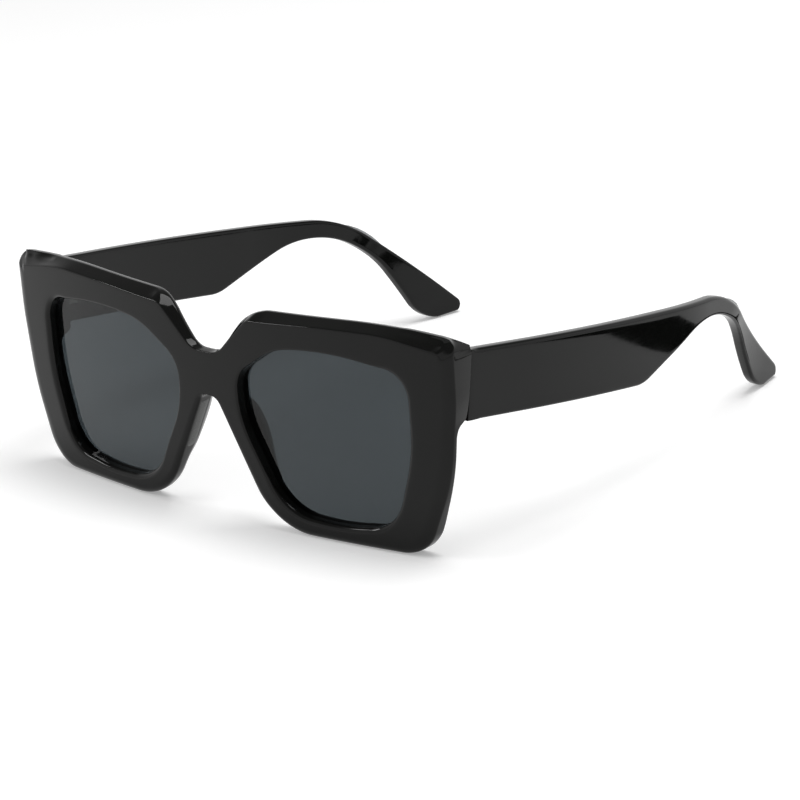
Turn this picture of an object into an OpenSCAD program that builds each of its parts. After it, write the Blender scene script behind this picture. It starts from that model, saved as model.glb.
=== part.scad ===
// Oversized square sunglasses, thick glossy front, wide arms, open and standing on a table.
// X runs across the front, the lenses face -Y, the arms run to +Y, Z is up, in millimetres.
// Left and right are the wearer's: left is +X. The origin is under the middle of the whole.

/* [Front] */
// Width of the front from corner to corner
front_width = 151.4; // [140:0.1:162]
// Height of the front from the table to its top edge
front_height = 57.8; // [52:0.1:64]
// Thickness of the rims, front to back
front_t = 5.2; // [4.8:0.1:6.5]
// Thickness at the middle of the bridge
bridge_t = 3.1; // [2.6:0.1:4.6]
// Radius that the front is bent to, seen from above
wrap_radius = 366; // [330:1:500]
// Width of the rim outside each lens opening
rim_outer = 12.8; // [11:0.1:14]
// Height of the rim over each lens opening
rim_top = 8.4; // [7:0.1:10]
// Height of the rim under each lens opening
rim_bottom = 4.8; // [4:0.1:7]
// Distance between the two lens openings
lens_gap = 20.6; // [19:0.1:23]
// Radius of the hollow behind the bridge
scoop_radius = 60; // [50:1:80]
// Height of the middle of that hollow above the table
scoop_z = 50; // [46:0.5:54]
// Distance from the foremost point to the flat back of the outer sides
side_back = 10.9; // [10.2:0.1:12]
// How far the front stands above the temple where they meet
shoulder = 0.6; // [0.2:0.1:1.5]

/* [Lenses] */
// Thickness of a lens
lens_t = 1.6; // [1.4:0.1:2]
// How far the lens face lies behind the front face
lens_recess = 2.7; // [1.8:0.1:2.8]
// Depth of the groove that holds a lens
groove_depth = 0.9; // [0.6:0.1:1.2]
// Clearance round a lens in its groove
lens_fit = 0.05; // [0.03:0.01:0.1]

/* [Nose pads] */
// Distance from the nose edge of the rim to the middle of a pad
pad_inset = 4.3; // [3.6:0.1:4.8]
// How far a pad stands out behind the rim
pad_reach = 4.6; // [3:0.1:6]
// Half the width of a pad
pad_radius = 1.6; // [1.2:0.1:2]
// Height of a pad's upper end above the table
pad_top_z = 30.6; // [28:0.1:32]
// Height of a pad's lower end above the table
pad_foot_z = 11.4; // [9:0.1:14]

/* [Temples] */
// Distance from the foremost point of the front to the rear end of a temple
temple_end = 157.8; // [150:0.1:166]
// Height of the temple arm, square to its length
temple_h = 17.7; // [16:0.1:19.5]
// Thickness of the temple
temple_t = 3.3; // [3:0.1:4]
// Slope of the temple down to the rear, in degrees
temple_slope = 8.9; // [7:0.1:10]
// Drop from the front's top to the temple's top edge where they meet
temple_drop = 5.4; // [4:0.1:7]
// Distance of the temple's middle from the front's outer end, where they meet
temple_inset = 2.4; // [2:0.1:3]
// Angle that the temple leaves the front at, outward, in degrees
temple_splay = 4.2; // [3:0.1:6]
// Angle that the arm runs inward at before the ear, in degrees
arm_turn = 4; // [2:0.1:5]
// Angle that the arm runs inward at over the ear, in degrees
ear_turn = 13.7; // [8:0.1:15]
// Further inward angle of the ear piece, in degrees
tip_turn = 11; // [8:0.5:16]
// Last inward angle of the tip, measured like the one before, in degrees
tip_ease = -1.5; // [-3:0.1:6]
// Tilt of the line that the ear piece is bent about, in degrees
bend_tilt = 55; // [45:1:60]
// Distance from the foremost point to the middle of the outward bow
bow_y = 58.8; // [52:0.1:64]
// Distance from the rear end of a temple to the first inward bend
turn_back = 56.3; // [55:0.1:62]
// Distance from the rear end of a temple to the middle of the ear arch
arch_back = 41.8; // [40:0.1:44]
// Radius of the outward bow
bow_radius = 350; // [300:5:420]
// Radius of the step under the arm
step_radius = 12.6; // [8:0.1:16]
// Distance along the ear piece to its first bend
bend_at = 12.2; // [9:0.1:14]
// Distance along the ear piece to its last bend
ease_at = 30.3; // [27:0.1:34]
// Radius of the first bend of the ear piece
bend_radius = 42; // [30:1:50]
// Radius of the last bend of the ear piece
ease_radius = 125; // [90:5:130]
// Radius of the first inward bend
turn_radius = 115; // [90:5:120]
// Distance from the rear end of a temple to the step under the arm
step_back = 79; // [72:0.1:87]
// Distance from the rear end of a temple to the heel of its tip
tip_len = 13; // [11:0.1:18]
// Slope of the underside up to the ear arch, in degrees
arch_rise = 16.2; // [14:0.1:20]
// Slope of the front edge of the tip, in degrees
heel_slope = 60.7; // [56:0.1:66]
// Slope of the rear edge of the tip, in degrees
tip_slope = 46.9; // [43:0.1:50]
// Radius of the ear arch
arch_radius = 29.7; // [24:0.1:32]
// Radius over the ear
ear_radius = 32.6; // [28:0.1:44]
// Radius of the heel of the tip
heel_radius = 6.9; // [5:0.1:9]
// Radius of the rear end of the tip
tip_radius = 1.2; // [0.8:0.1:2]

/* [Hinges] */
// Gap between the front and the end of a temple
butt_gap = 0.15; // [0.08:0.01:0.3]
// Distance of the temple's end from the foremost point, at mid height
butt_y = 15.2; // [14.6:0.1:16.4]
// Radius of the hinge barrels
barrel_r = 1.5; // [1.3:0.05:1.6]
// Height of one hinge barrel
barrel_h = 1.4; // [1.2:0.05:1.6]
// Gap between two hinge barrels
barrel_gap = 0.08; // [0.05:0.01:0.12]
// Thickness of a hinge leaf
leaf_t = 0.9; // [0.8:0.05:1]
// Length of the leaf on the front
front_leaf_len = 5.6; // [5.2:0.1:6]
// Length of the leaf on the temple
temple_leaf_len = 9.4; // [8.6:0.1:11]
// Depth that a leaf is let into the plastic
leaf_inlay = 0.35; // [0.2:0.05:0.5]
// Clearance round a leaf and round turning barrels
leaf_fit = 0.12; // [0.08:0.01:0.16]
// Radius of the hinge screw
pin_r = 0.7; // [0.6:0.05:0.8]
// Radial clearance of the hinge screw
pin_fit = 0.04; // [0.02:0.01:0.06]
// Radius of the hinge screw's head
pin_head_r = 1.2; // [1.05:0.05:1.3]
// Height of the hinge screw's head
pin_head_h = 0.6; // [0.4:0.05:0.8]
// Radius of a leaf screw's shank
screw_r = 0.45; // [0.35:0.05:0.55]
// Radius of a leaf screw's head
screw_head_r = 0.9; // [0.8:0.05:1]
// Length of a leaf screw
screw_len = 2.6; // [2:0.1:2.8]
// Radial clearance of a leaf screw
screw_fit = 0.02; // [0.01:0.01:0.03]

/* [Temple cores] */
// Thickness of the wire core in a temple
core_t = 1.1; // [0.8:0.1:1.3]
// Height of the wire core
core_h = 2.2; // [1.8:0.1:2.6]
// Depth of the wire core's middle under the temple's top edge
core_depth = 2.9; // [2.6:0.1:3.1]
// Distance from the rear end of a temple to the rear end of the wire core
core_back = 12.3; // [11:0.1:18]
// Height of the rear end of the wire core above the table
core_foot_z = 8.6; // [7:0.1:12]
// Clearance round the wire core
core_fit = 0.04; // [0.02:0.01:0.06]

/* [Hidden] */

// Half of the front's outline, from the bridge round to the nose, as shares of half the width
// and of the height, with how much of its shorter edge each corner's rounding takes
front_outline_shares = [
    [0.054, 0.766, 0.312],
    [0.188, 0.977, 0.360],
    [0.658, 1.001, 0.274],
    [1.003, 0.986, 0.212],
    [1.000, 0.700, 0.182],
    [0.966, 0.356, 0.338],
    [0.861, 0.000, 0.330],
    [0.253, 0.000, 0.319],
    [0.032, 0.559, 0.399]
];
// A lens opening, counterclockwise from its lower inner corner, as shares of its width and
// height, with how much of its shorter edge each corner's rounding takes
opening_shares = [
    [0.236, 0.011, 0.515],
    [0.565, -0.011, 0.357],
    [0.888, 0.034, 0.436],
    [0.999, 0.498, 0.318],
    [0.997, 0.942, 0.333],
    [0.565, 1.016, 0.641],
    [0.245, 0.974, 0.345],
    [0.001, 0.787, 0.387],
    [0.000, 0.522, 0.524]
];
// Side view of a pad from its top, as shares of its reach and length, with each corner's
// radius as a share of the reach
pad_shares = [[0.10, 0.00, 0.30], [1.02, 0.13, 0.72], [1.00, 0.46, 1.60], [0.26, 0.80, 1.60], [0.10, 1.00, 0.20]];

arc_step = 9;
round_fn = 32;
wrap_fn = 720;
half_width = front_width / 2;
opening_x = lens_gap / 2;
opening_w = half_width - rim_outer - opening_x;
opening_h = front_height - rim_top - rim_bottom;
overrun = front_t;
deep = wrap_radius / 2;
tall = 2 * front_height;

// Temple lines, in the side view: y to the rear and z up
temple_x = half_width - temple_inset;
temple_top_z = front_height - temple_drop;
slope = tan(temple_slope);
butt_z = temple_top_z - temple_h / 2;
step_y = temple_end - step_back;
turn_y = temple_end - turn_back;
arch_y = temple_end - arch_back;
heel_y = temple_end - tip_len;
tip_y = temple_end - tip_radius + tip_radius / tan(tip_slope / 2);
function butt_at(z) = butt_y + (z - butt_z) * slope;
function top_at(y) = temple_top_z - (y - butt_at(temple_top_z)) * slope;
function low_at(y) = top_at(y) - temple_h / cos(temple_slope);
function meet(a, slope_a, b, slope_b) =
    let (y = (b[1] - a[1] + slope_a * a[0] - slope_b * b[0]) / (slope_a - slope_b))
    [y, a[1] + slope_a * (y - a[0])];
ear_corner = meet([step_y, top_at(step_y)], -slope, [tip_y, 0], -tan(tip_slope));
arch_corner = meet([step_y, low_at(step_y)], tan(arch_rise), [heel_y, 0], -tan(heel_slope));
before_y = butt_y - overrun;
temple_side = [
    [before_y, top_at(before_y), 0],
    [before_y, low_at(before_y), 0],
    [step_y, low_at(step_y), step_radius],
    [arch_corner[0], arch_corner[1], arch_radius],
    [heel_y, 0, heel_radius],
    [tip_y, 0, tip_radius],
    [ear_corner[0], ear_corner[1], ear_radius]
];

// Temple lines, in the plan view: x outward and y to the rear
bow_x = temple_x + (bow_y - butt_y) * tan(temple_splay);
turn_x = bow_x - (turn_y - bow_y) * tan(arm_turn);
arch_x = turn_x - (arch_y - turn_y) * tan(ear_turn);
// The bow is rounded no further than the next bend leaves room for
bow_room = turn_y - bow_y - turn_radius * tan((ear_turn - arm_turn) / 2);
bow_round = min(bow_radius, bow_room * 0.8 / tan((temple_splay + arm_turn) / 2));
arch_z = top_at(arch_y) - core_depth;
arm_plan = [
    [temple_x - (butt_y - before_y) * tan(temple_splay), before_y, 0],
    [bow_x, bow_y, bow_round],
    [turn_x, turn_y, turn_radius],
    [turn_x - (temple_end - turn_y) * tan(ear_turn), temple_end, 0]
];
// The ear piece, square to the bend's line and starting in the plane of the arm
tip_run = temple_h * 4;
bend_lap = bend_at / 4;
ease_x = -(ease_at - bend_at) * tan(tip_turn);
tip_plan = [
    [0, 0, 0],
    [0, bend_at, bend_radius],
    [ease_x, ease_at, ease_radius],
    [ease_x - (tip_run - ease_at) * tan(tip_ease), tip_run, 0]
];

// Hinge frame: its origin is on the screw's axis, at mid height of the temple
hinge_set_back = barrel_r + leaf_fit;
axis_x = temple_x - temple_t / 2 - hinge_set_back;
knuckles = 5;
knuckle_pitch = barrel_h + barrel_gap;
stack_h = knuckles * knuckle_pitch - barrel_gap;
front_knuckles = [0, 2, 4];
temple_knuckles = [1, 3];
front_leaf_back = -hinge_set_back - leaf_inlay;
temple_leaf_face = hinge_set_back + leaf_inlay;
front_screw_z = stack_h / 3;
front_screw_x = -front_leaf_len * 0.68;
temple_screw_shares = [0.5, 0.84];
sink_h = leaf_t * 0.6;

// Endpiece
endpiece_x = axis_x - front_leaf_len - leaf_t;
endpiece_foot = low_at(butt_y);
endpiece_top = temple_top_z + shoulder;

// Nose pad
pad_len_z = pad_top_z - pad_foot_z;

// Rounded corners for a list of [x, y, radius]
function unit(v) = v / norm(v);
function corner_arc(p, a, b, r) =
    let (
        u = unit(a - p),
        v = unit(b - p),
        half = acos(max(-1, min(1, u * v))) / 2,
        c = p + unit(u + v) * r / sin(half),
        s = p + u * r / tan(half) - c,
        e = p + v * r / tan(half) - c,
        from = atan2(s[1], s[0]),
        turn = (atan2(e[1], e[0]) - from + 540) % 360 - 180,
        n = max(2, ceil(abs(turn) / arc_step))
    )
    [for (i = [0 : n]) c + r * [cos(from + turn * i / n), sin(from + turn * i / n)]];
function flat2(p) = [p[0], p[1]];
function rounded(pts) =
    let (n = len(pts))
    [for (i = [0 : n - 1])
        let (p = flat2(pts[i]), a = flat2(pts[(i + n - 1) % n]), b = flat2(pts[(i + 1) % n]))
        each pts[i][2] > 0 ? corner_arc(p, a, b, pts[i][2]) : [p]];

// A convex outline moved outward by d, with its corner radii kept true
function grown(pts, d) =
    let (n = len(pts))
    [for (i = [0 : n - 1])
        let (
            p = flat2(pts[i]),
            u = unit(p - flat2(pts[(i + n - 1) % n])),
            v = unit(flat2(pts[(i + 1) % n]) - p),
            m = [u[1], -u[0]],
            k = [v[1], -v[0]],
            q = p + (m + k) * d / (1 + m * k)
        )
        [q[0], q[1], pts[i][2] + d]];

// Points along an open line, with its inner corners rounded
function open_rounded(pts) =
    let (n = len(pts) - 1)
    [for (i = [0 : n])
        each i == 0 || i == n
            ? [flat2(pts[i])]
            : corner_arc(flat2(pts[i]), flat2(pts[i - 1]), flat2(pts[i + 1]), pts[i][2])];
function ribbon(path, w) =
    let (
        n = len(path) - 1,
        dirs = [for (i = [0 : n]) unit(unit(path[min(n, i + 1)] - path[min(n - 1, i)])
            + unit(path[max(1, i)] - path[max(0, i - 1)]))],
        side = [for (d = dirs) [-d[1], d[0]]]
    )
    concat(
        [for (i = [0 : n]) path[i] + side[i] * w / 2],
        [for (i = [n : -1 : 0]) path[i] - side[i] * w / 2]
    );

// An outline whose roundings are shares of their shorter edge, with radii in their place
function eased(pts) =
    let (n = len(pts))
    [for (i = [0 : n - 1])
        let (
            p = flat2(pts[i]),
            u = flat2(pts[(i + n - 1) % n]) - p,
            v = flat2(pts[(i + 1) % n]) - p,
            half = acos(unit(u) * unit(v)) / 2
        )
        [p[0], p[1], pts[i][2] * min(norm(u), norm(v)) * tan(half)]];

front_half = [for (s = front_outline_shares) [s[0] * half_width, s[1] * front_height, s[2]]];
front_mirror = [for (i = [len(front_half) - 1 : -1 : 0]) [-front_half[i][0], front_half[i][1], front_half[i][2]]];
front_outline = eased(concat(front_half, front_mirror));
opening = eased([for (s = opening_shares)
    [opening_x + s[0] * opening_w, rim_bottom + s[1] * opening_h, s[2]]]);

// Stands an outline of [x, z] points upright and gives it a depth along Y
module upright(pts) {
    translate([0, deep, 0])
        rotate([90, 0, 0])
            linear_extrude(height = 2 * deep)
                polygon(pts);
}

// The bent slab from depth a to depth b behind the front face
module bent_slab(a, b) {
    translate([0, wrap_radius, -front_height / 2])
        difference() {
            cylinder(h = tall, r = wrap_radius - a, $fn = wrap_fn);
            translate([0, 0, -overrun])
                cylinder(h = tall + 2 * overrun, r = wrap_radius - b, $fn = wrap_fn);
        }
}

module on_side(side) {
    if (side > 0) {
        children();
    } else {
        mirror([1, 0, 0]) children();
    }
}

// Moves from the foremost point of the front to the middle of the whole
module seated() {
    translate([0, -temple_end / 2, 0]) children();
}

// Hinge frame of the wearer's left: Y along the temple, Z along the screw
module at_hinge() {
    translate([axis_x, butt_y, butt_z])
        rotate([-temple_slope, 0, 0])
            translate([0, hinge_set_back, 0])
                children();
}

module block(low, high) {
    translate(low) cube(high - low);
}

function knuckle_low(i) = -stack_h / 2 + i * knuckle_pitch;

// Front
// The seat behind each outer end, for the temple and its hinge
module endpiece() {
    foot_y = butt_at(endpiece_foot);
    side = [
        [-overrun, tall, 0],
        [side_back, front_height + front_t, 0],
        [side_back, front_height, 0],
        [butt_at(endpiece_top), endpiece_top, 0],
        [foot_y, endpiece_foot, butt_gap * 2],
        [side_back, endpiece_foot, (foot_y - side_back) * 0.8],
        [side_back, endpiece_foot - front_t, 0],
        [-overrun, endpiece_foot - front_t, 0]
    ];
    plan = [
        [endpiece_x - front_t, 0],
        [front_width, 0],
        [front_width, side_back - front_t],
        [half_width + front_t / 8, side_back - front_t],
        [temple_x + temple_t / 2 + shoulder / 4, butt_at(endpiece_top)],
        [endpiece_x, butt_at(endpiece_top)],
        [endpiece_x, butt_y],
        [endpiece_x - front_t / 2, side_back]
    ];
    intersection() {
        upright(rounded(front_outline));
        translate([endpiece_x - front_t, 0, 0])
            rotate([90, 0, 90])
                linear_extrude(height = half_width)
                    polygon(rounded(side));
        linear_extrude(height = tall) polygon(plan);
        bent_slab(front_t / 2, wrap_radius / 2);
    }
}

module front_pocket() {
    block(
        [-front_leaf_len - leaf_fit, front_leaf_back, -stack_h / 2 - leaf_fit],
        [hinge_set_back, 0, stack_h / 2 + leaf_fit]
    );
    at_front_screws() screw_hole();
}

module front_frame() {
    color([0.09, 0.09, 0.085])
        difference() {
            union() {
                intersection() {
                    upright(rounded(front_outline));
                    bent_slab(0, front_t);
                    block([-front_width, -overrun, -overrun], [front_width, side_back, tall]);
                }
                for (side = [-1, 1])
                    on_side(side) endpiece();
            }
            for (side = [-1, 1])
                on_side(side) {
                    upright(rounded(opening));
                    intersection() {
                        upright(rounded(grown(opening, groove_depth)));
                        bent_slab(lens_recess - lens_fit, lens_recess + lens_t + lens_fit);
                    }
                    at_hinge() front_pocket();
                }
            translate([0, bridge_t + scoop_radius, scoop_z])
                sphere(r = scoop_radius, $fn = wrap_fn / 4);
        }
}

// Lens, held in the groove of its rim
module lens(side) {
    color([0.22, 0.24, 0.26, 0.75])
        on_side(side)
            intersection() {
                upright(rounded(grown(opening, groove_depth - lens_fit)));
                bent_slab(lens_recess, lens_recess + lens_t);
            }
}

// Nose pad, standing behind the nose edge of the rim
function nose_edge_at(z) =
    let (a = front_half[len(front_half) - 2], b = front_half[len(front_half) - 1])
    a[0] + (b[0] - a[0]) * (z - a[1]) / (b[1] - a[1]);
function wrap_at(x) = wrap_radius - sqrt(wrap_radius * wrap_radius - x * x);

module nose_pad(side) {
    x_top = nose_edge_at(pad_top_z) + pad_inset;
    x_foot = nose_edge_at(pad_foot_z) + pad_inset;
    pad_len = norm([x_foot - x_top, pad_len_z]);
    back = wrap_at((x_top + x_foot) / 2) + front_t;
    sunk = front_t / 2;
    profile = concat(
        [[-sunk, 0, 0]],
        [for (s = pad_shares) [s[0] * pad_reach, -s[1] * pad_len, s[2] * pad_reach]],
        [[-sunk, -pad_len, 0]]
    );
    color([0.13, 0.13, 0.125])
        on_side(side)
            difference() {
                translate([x_top, back, pad_top_z])
                    rotate([0, -atan2(x_foot - x_top, pad_len_z), 0])
                        intersection() {
                            translate([-pad_radius * 2, 0, 0])
                                rotate([90, 0, 90])
                                    linear_extrude(height = pad_radius * 4)
                                        polygon(rounded(profile));
                            translate([0, 0, -pad_len])
                                union() {
                                    translate([0, pad_reach - pad_radius, 0])
                                        cylinder(h = pad_len, r = pad_radius, $fn = round_fn);
                                    block(
                                        [-pad_radius, -sunk, 0],
                                        [pad_radius, pad_reach - pad_radius, pad_len]
                                    );
                                }
                        }
                bent_slab(-overrun, front_t);
            }
}

// Temple
// A bent upright wall of thickness w that follows the arm and then the ear piece, the two in
// one plane where they run into each other
module wall(w) {
    intersection() {
        linear_extrude(height = tall)
            polygon(ribbon(open_rounded(arm_plan), w));
        at_bend() block([-tall, -2 * temple_end, -tall], [tall, bend_lap, tall]);
    }
    at_bend()
        translate([0, 0, -tall])
            linear_extrude(height = 2 * tall)
                polygon(ribbon(open_rounded(tip_plan), w));
}

module at_bend() {
    translate([arch_x, arch_y, arch_z])
        rotate([0, 0, ear_turn])
            rotate([-bend_tilt, 0, 0])
                children();
}

module side_sheet(pts) {
    rotate([90, 0, 90])
        linear_extrude(height = front_width)
            polygon(pts);
}

// Line that the wire core follows, as [y, z, radius]
core_bend_y = ear_corner[0] + core_h;
core_line = [
    [before_y, top_at(before_y) - core_depth, 0],
    [core_bend_y, top_at(core_bend_y) - core_depth, ear_radius * 0.6],
    [temple_end - core_back, core_foot_z, 0]
];

module core(grow) {
    intersection() {
        wall(core_t + 2 * grow);
        side_sheet(ribbon(open_rounded(core_line), core_h + 2 * grow));
    }
}

// Everything behind the plane where the temple ends, set back by a distance
module behind_butt(gap) {
    at_hinge()
        block(
            [-front_width, -hinge_set_back + gap, -front_height],
            [front_width, temple_end, front_height]
        );
}

module temple_pocket() {
    rotate([0, 0, -temple_splay])
        block(
            [0, -hinge_set_back - leaf_fit, -stack_h / 2 - leaf_fit],
            [temple_leaf_face, temple_leaf_len + leaf_fit, stack_h / 2 + leaf_fit]
        );
    at_temple_screws() screw_hole();
}

module temple(side) {
    color([0.1, 0.1, 0.095])
        on_side(side)
            difference() {
                intersection() {
                    wall(temple_t);
                    side_sheet(rounded(temple_side));
                    behind_butt(butt_gap);
                }
                core(core_fit);
                at_hinge() temple_pocket();
            }
}

module temple_core(side) {
    color([0.75, 0.75, 0.74])
        on_side(side)
            intersection() {
                core(0);
                behind_butt(2 * butt_gap);
            }
}

// Hinge
module barrels(list) {
    for (i = list)
        translate([0, 0, knuckle_low(i)])
            cylinder(h = barrel_h, r = barrel_r, $fn = round_fn);
}
module barrel_room(list) {
    for (i = list)
        translate([0, 0, knuckle_low(i) - barrel_gap])
            cylinder(h = barrel_h + 2 * barrel_gap, r = barrel_r + leaf_fit, $fn = round_fn);
}
module pin_bore() {
    translate([0, 0, -stack_h])
        cylinder(h = 2 * stack_h, r = pin_r + pin_fit, $fn = round_fn);
}
// Countersunk screw along -Z, its head flush with Z = 0, or the room for one
module countersunk(extra) {
    translate([0, 0, -screw_len])
        cylinder(h = screw_len, r = screw_r + extra, $fn = round_fn);
    translate([0, 0, -sink_h])
        cylinder(h = sink_h, r1 = screw_r + extra, r2 = screw_head_r + extra, $fn = round_fn);
}
module screw_hole() {
    translate([0, 0, -screw_len - screw_fit])
        cylinder(h = screw_len, r = screw_r + screw_fit, $fn = round_fn);
}

module at_front_screws() {
    for (z = [-front_screw_z, front_screw_z])
        translate([front_screw_x, front_leaf_back + leaf_t, z])
            rotate([-90, 0, 0])
                children();
}
module at_temple_screws() {
    rotate([0, 0, -temple_splay])
        for (s = temple_screw_shares)
            translate([temple_leaf_face - leaf_t, temple_leaf_len * s, 0])
                rotate([0, -90, 0])
                    children();
}

module front_hinge(side) {
    color([0.8, 0.79, 0.76])
        seat_hinge(side)
            difference() {
                union() {
                    block(
                        [-front_leaf_len, front_leaf_back, -stack_h / 2],
                        [0, front_leaf_back + leaf_t, stack_h / 2]
                    );
                    for (i = front_knuckles)
                        block(
                            [-barrel_r, front_leaf_back, knuckle_low(i)],
                            [0, 0, knuckle_low(i) + barrel_h]
                        );
                    barrels(front_knuckles);
                }
                barrel_room(temple_knuckles);
                pin_bore();
                at_front_screws() countersunk(screw_fit);
            }
}

module temple_hinge(side) {
    color([0.8, 0.79, 0.76])
        seat_hinge(side)
            difference() {
                union() {
                    rotate([0, 0, -temple_splay]) {
                        block(
                            [temple_leaf_face - leaf_t, 0, -stack_h / 2],
                            [temple_leaf_face, temple_leaf_len, stack_h / 2]
                        );
                        for (i = temple_knuckles)
                            block(
                                [0, 0, knuckle_low(i)],
                                [temple_leaf_face, barrel_r, knuckle_low(i) + barrel_h]
                            );
                    }
                    barrels(temple_knuckles);
                }
                barrel_room(front_knuckles);
                pin_bore();
                at_temple_screws() countersunk(screw_fit);
            }
}

module seat_hinge(side) {
    on_side(side) at_hinge() children();
}

module hinge_screw(side) {
    color([0.7, 0.7, 0.68])
        seat_hinge(side)
            difference() {
                union() {
                    translate([0, 0, -stack_h / 2])
                        cylinder(h = stack_h, r = pin_r, $fn = round_fn);
                    translate([0, 0, stack_h / 2])
                        cylinder(h = pin_head_h, r = pin_head_r, $fn = round_fn);
                }
                block(
                    [-pin_head_r * 2, -pin_r / 4, stack_h / 2 + pin_head_h / 2],
                    [pin_head_r * 2, pin_r / 4, stack_h]
                );
            }
}

module front_leaf_screws(side) {
    color([0.7, 0.7, 0.68])
        seat_hinge(side) at_front_screws() countersunk(0);
}

module temple_leaf_screws(side) {
    color([0.7, 0.7, 0.68])
        seat_hinge(side) at_temple_screws() countersunk(0);
}

seated() front_frame();
seated() lens(1);  // lens_left
seated() lens(-1);  // lens_right
seated() nose_pad(1);  // nose_pad_left
seated() nose_pad(-1);  // nose_pad_right
seated() temple(1);  // temple_left
seated() temple(-1);  // temple_right
seated() temple_core(1);  // temple_core_left
seated() temple_core(-1);  // temple_core_right
seated() front_hinge(1);  // front_hinge_left
seated() front_hinge(-1);  // front_hinge_right
seated() temple_hinge(1);  // temple_hinge_left
seated() temple_hinge(-1);  // temple_hinge_right
seated() hinge_screw(1);  // hinge_screw_left
seated() hinge_screw(-1);  // hinge_screw_right
seated() front_leaf_screws(1);  // front_leaf_screws_left
seated() front_leaf_screws(-1);  // front_leaf_screws_right
seated() temple_leaf_screws(1);  // temple_leaf_screws_left
seated() temple_leaf_screws(-1);  // temple_leaf_screws_right
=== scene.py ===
"""Oversized square sunglasses with a thick glossy front and wide arms, standing open on a table.

Lengths are in millimetres from the foremost point of the front, with X across, Y to the rear
and Z up, until a mesh is made. Left is the wearer's left, at +X.
"""

import logging
import math
from dataclasses import dataclass, field
from enum import Enum
from typing import Callable, Optional, Sequence

import bmesh
import bpy
import numpy as np
from mathutils import Matrix, Vector


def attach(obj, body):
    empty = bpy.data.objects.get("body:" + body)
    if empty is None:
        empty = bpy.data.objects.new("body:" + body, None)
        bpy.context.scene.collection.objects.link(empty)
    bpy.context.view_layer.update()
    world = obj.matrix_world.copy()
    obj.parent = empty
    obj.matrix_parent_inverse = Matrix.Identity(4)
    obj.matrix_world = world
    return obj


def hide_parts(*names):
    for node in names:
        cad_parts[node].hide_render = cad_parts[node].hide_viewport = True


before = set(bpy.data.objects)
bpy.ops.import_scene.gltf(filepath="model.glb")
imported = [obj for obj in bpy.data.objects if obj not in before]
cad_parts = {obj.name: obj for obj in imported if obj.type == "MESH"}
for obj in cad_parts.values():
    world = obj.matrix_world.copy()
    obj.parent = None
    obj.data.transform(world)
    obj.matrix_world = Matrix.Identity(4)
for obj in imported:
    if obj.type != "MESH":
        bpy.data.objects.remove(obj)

logging.basicConfig(level=logging.INFO, format="%(message)s")
LOG = logging.getLogger("sunglasses")

MM = 0.001
TEMPLE_END = 157.8
# Colours of the studio, linear
WHITE = (1.0, 1.0, 1.0, 1.0)
TABLE_WHITE = (0.86, 0.86, 0.86, 1.0)
FELT_BLACK = (0.01, 0.01, 0.01, 1.0)
# Sockets of the mix node in its colour mode
MIX_LOW, MIX_HIGH, MIX_COLOUR = 6, 7, 2
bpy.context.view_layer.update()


class Side(Enum):
    """The wearer's left or right, as a sign of X."""

    LEFT = 1
    RIGHT = -1

    @property
    def word(self) -> str:
        """The side's name, as the pieces use it.

        Returns:
            left or right.
        """
        return self.name.lower()


# Lines and meshes


def unit(v: np.ndarray) -> np.ndarray:
    """Vectors of length one along the last axis.

    Args:
        v: the vectors.

    Returns:
        Each vector divided by its length.
    """
    return v / np.linalg.norm(v, axis=-1, keepdims=True)


def ease(x: np.ndarray, low: float, high: float) -> np.ndarray:
    """Rises smoothly from 0 at low to 1 at high.

    Args:
        x: the values.
        low: where the rise starts.
        high: where the rise ends.

    Returns:
        A share from 0 to 1 for each value.
    """
    t = np.clip((np.asarray(x, float) - low) / (high - low), 0, 1)
    return t * t * (3 - 2 * t)


def smoothed(row: np.ndarray) -> np.ndarray:
    """Evens out a row of values, with its ends drawn on.

    Args:
        row: the values.

    Returns:
        As many values, each a weighted mean of five.
    """
    kernel = np.array([1, 2, 3, 2, 1]) / 9
    return np.convolve(np.pad(row, 2, mode="edge"), kernel, mode="valid")


def soft_min(a: np.ndarray, b: np.ndarray, blend: float) -> np.ndarray:
    """The smaller of two heights, rounded where they cross.

    Args:
        a: the first heights.
        b: the second heights.
        blend: how wide the rounding is, in mm.

    Returns:
        A height for each pair.
    """
    h = np.clip(0.5 + 0.5 * (b - a) / blend, 0, 1)
    return b + (a - b) * h - blend * h * (1 - h)


def soft_max(a: np.ndarray, b: np.ndarray, blend: float) -> np.ndarray:
    """The larger of two heights, rounded where they cross.

    Args:
        a: the first heights.
        b: the second heights.
        blend: how wide the rounding is, in mm.

    Returns:
        A height for each pair.
    """
    return -soft_min(-a, -b, blend)


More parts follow.
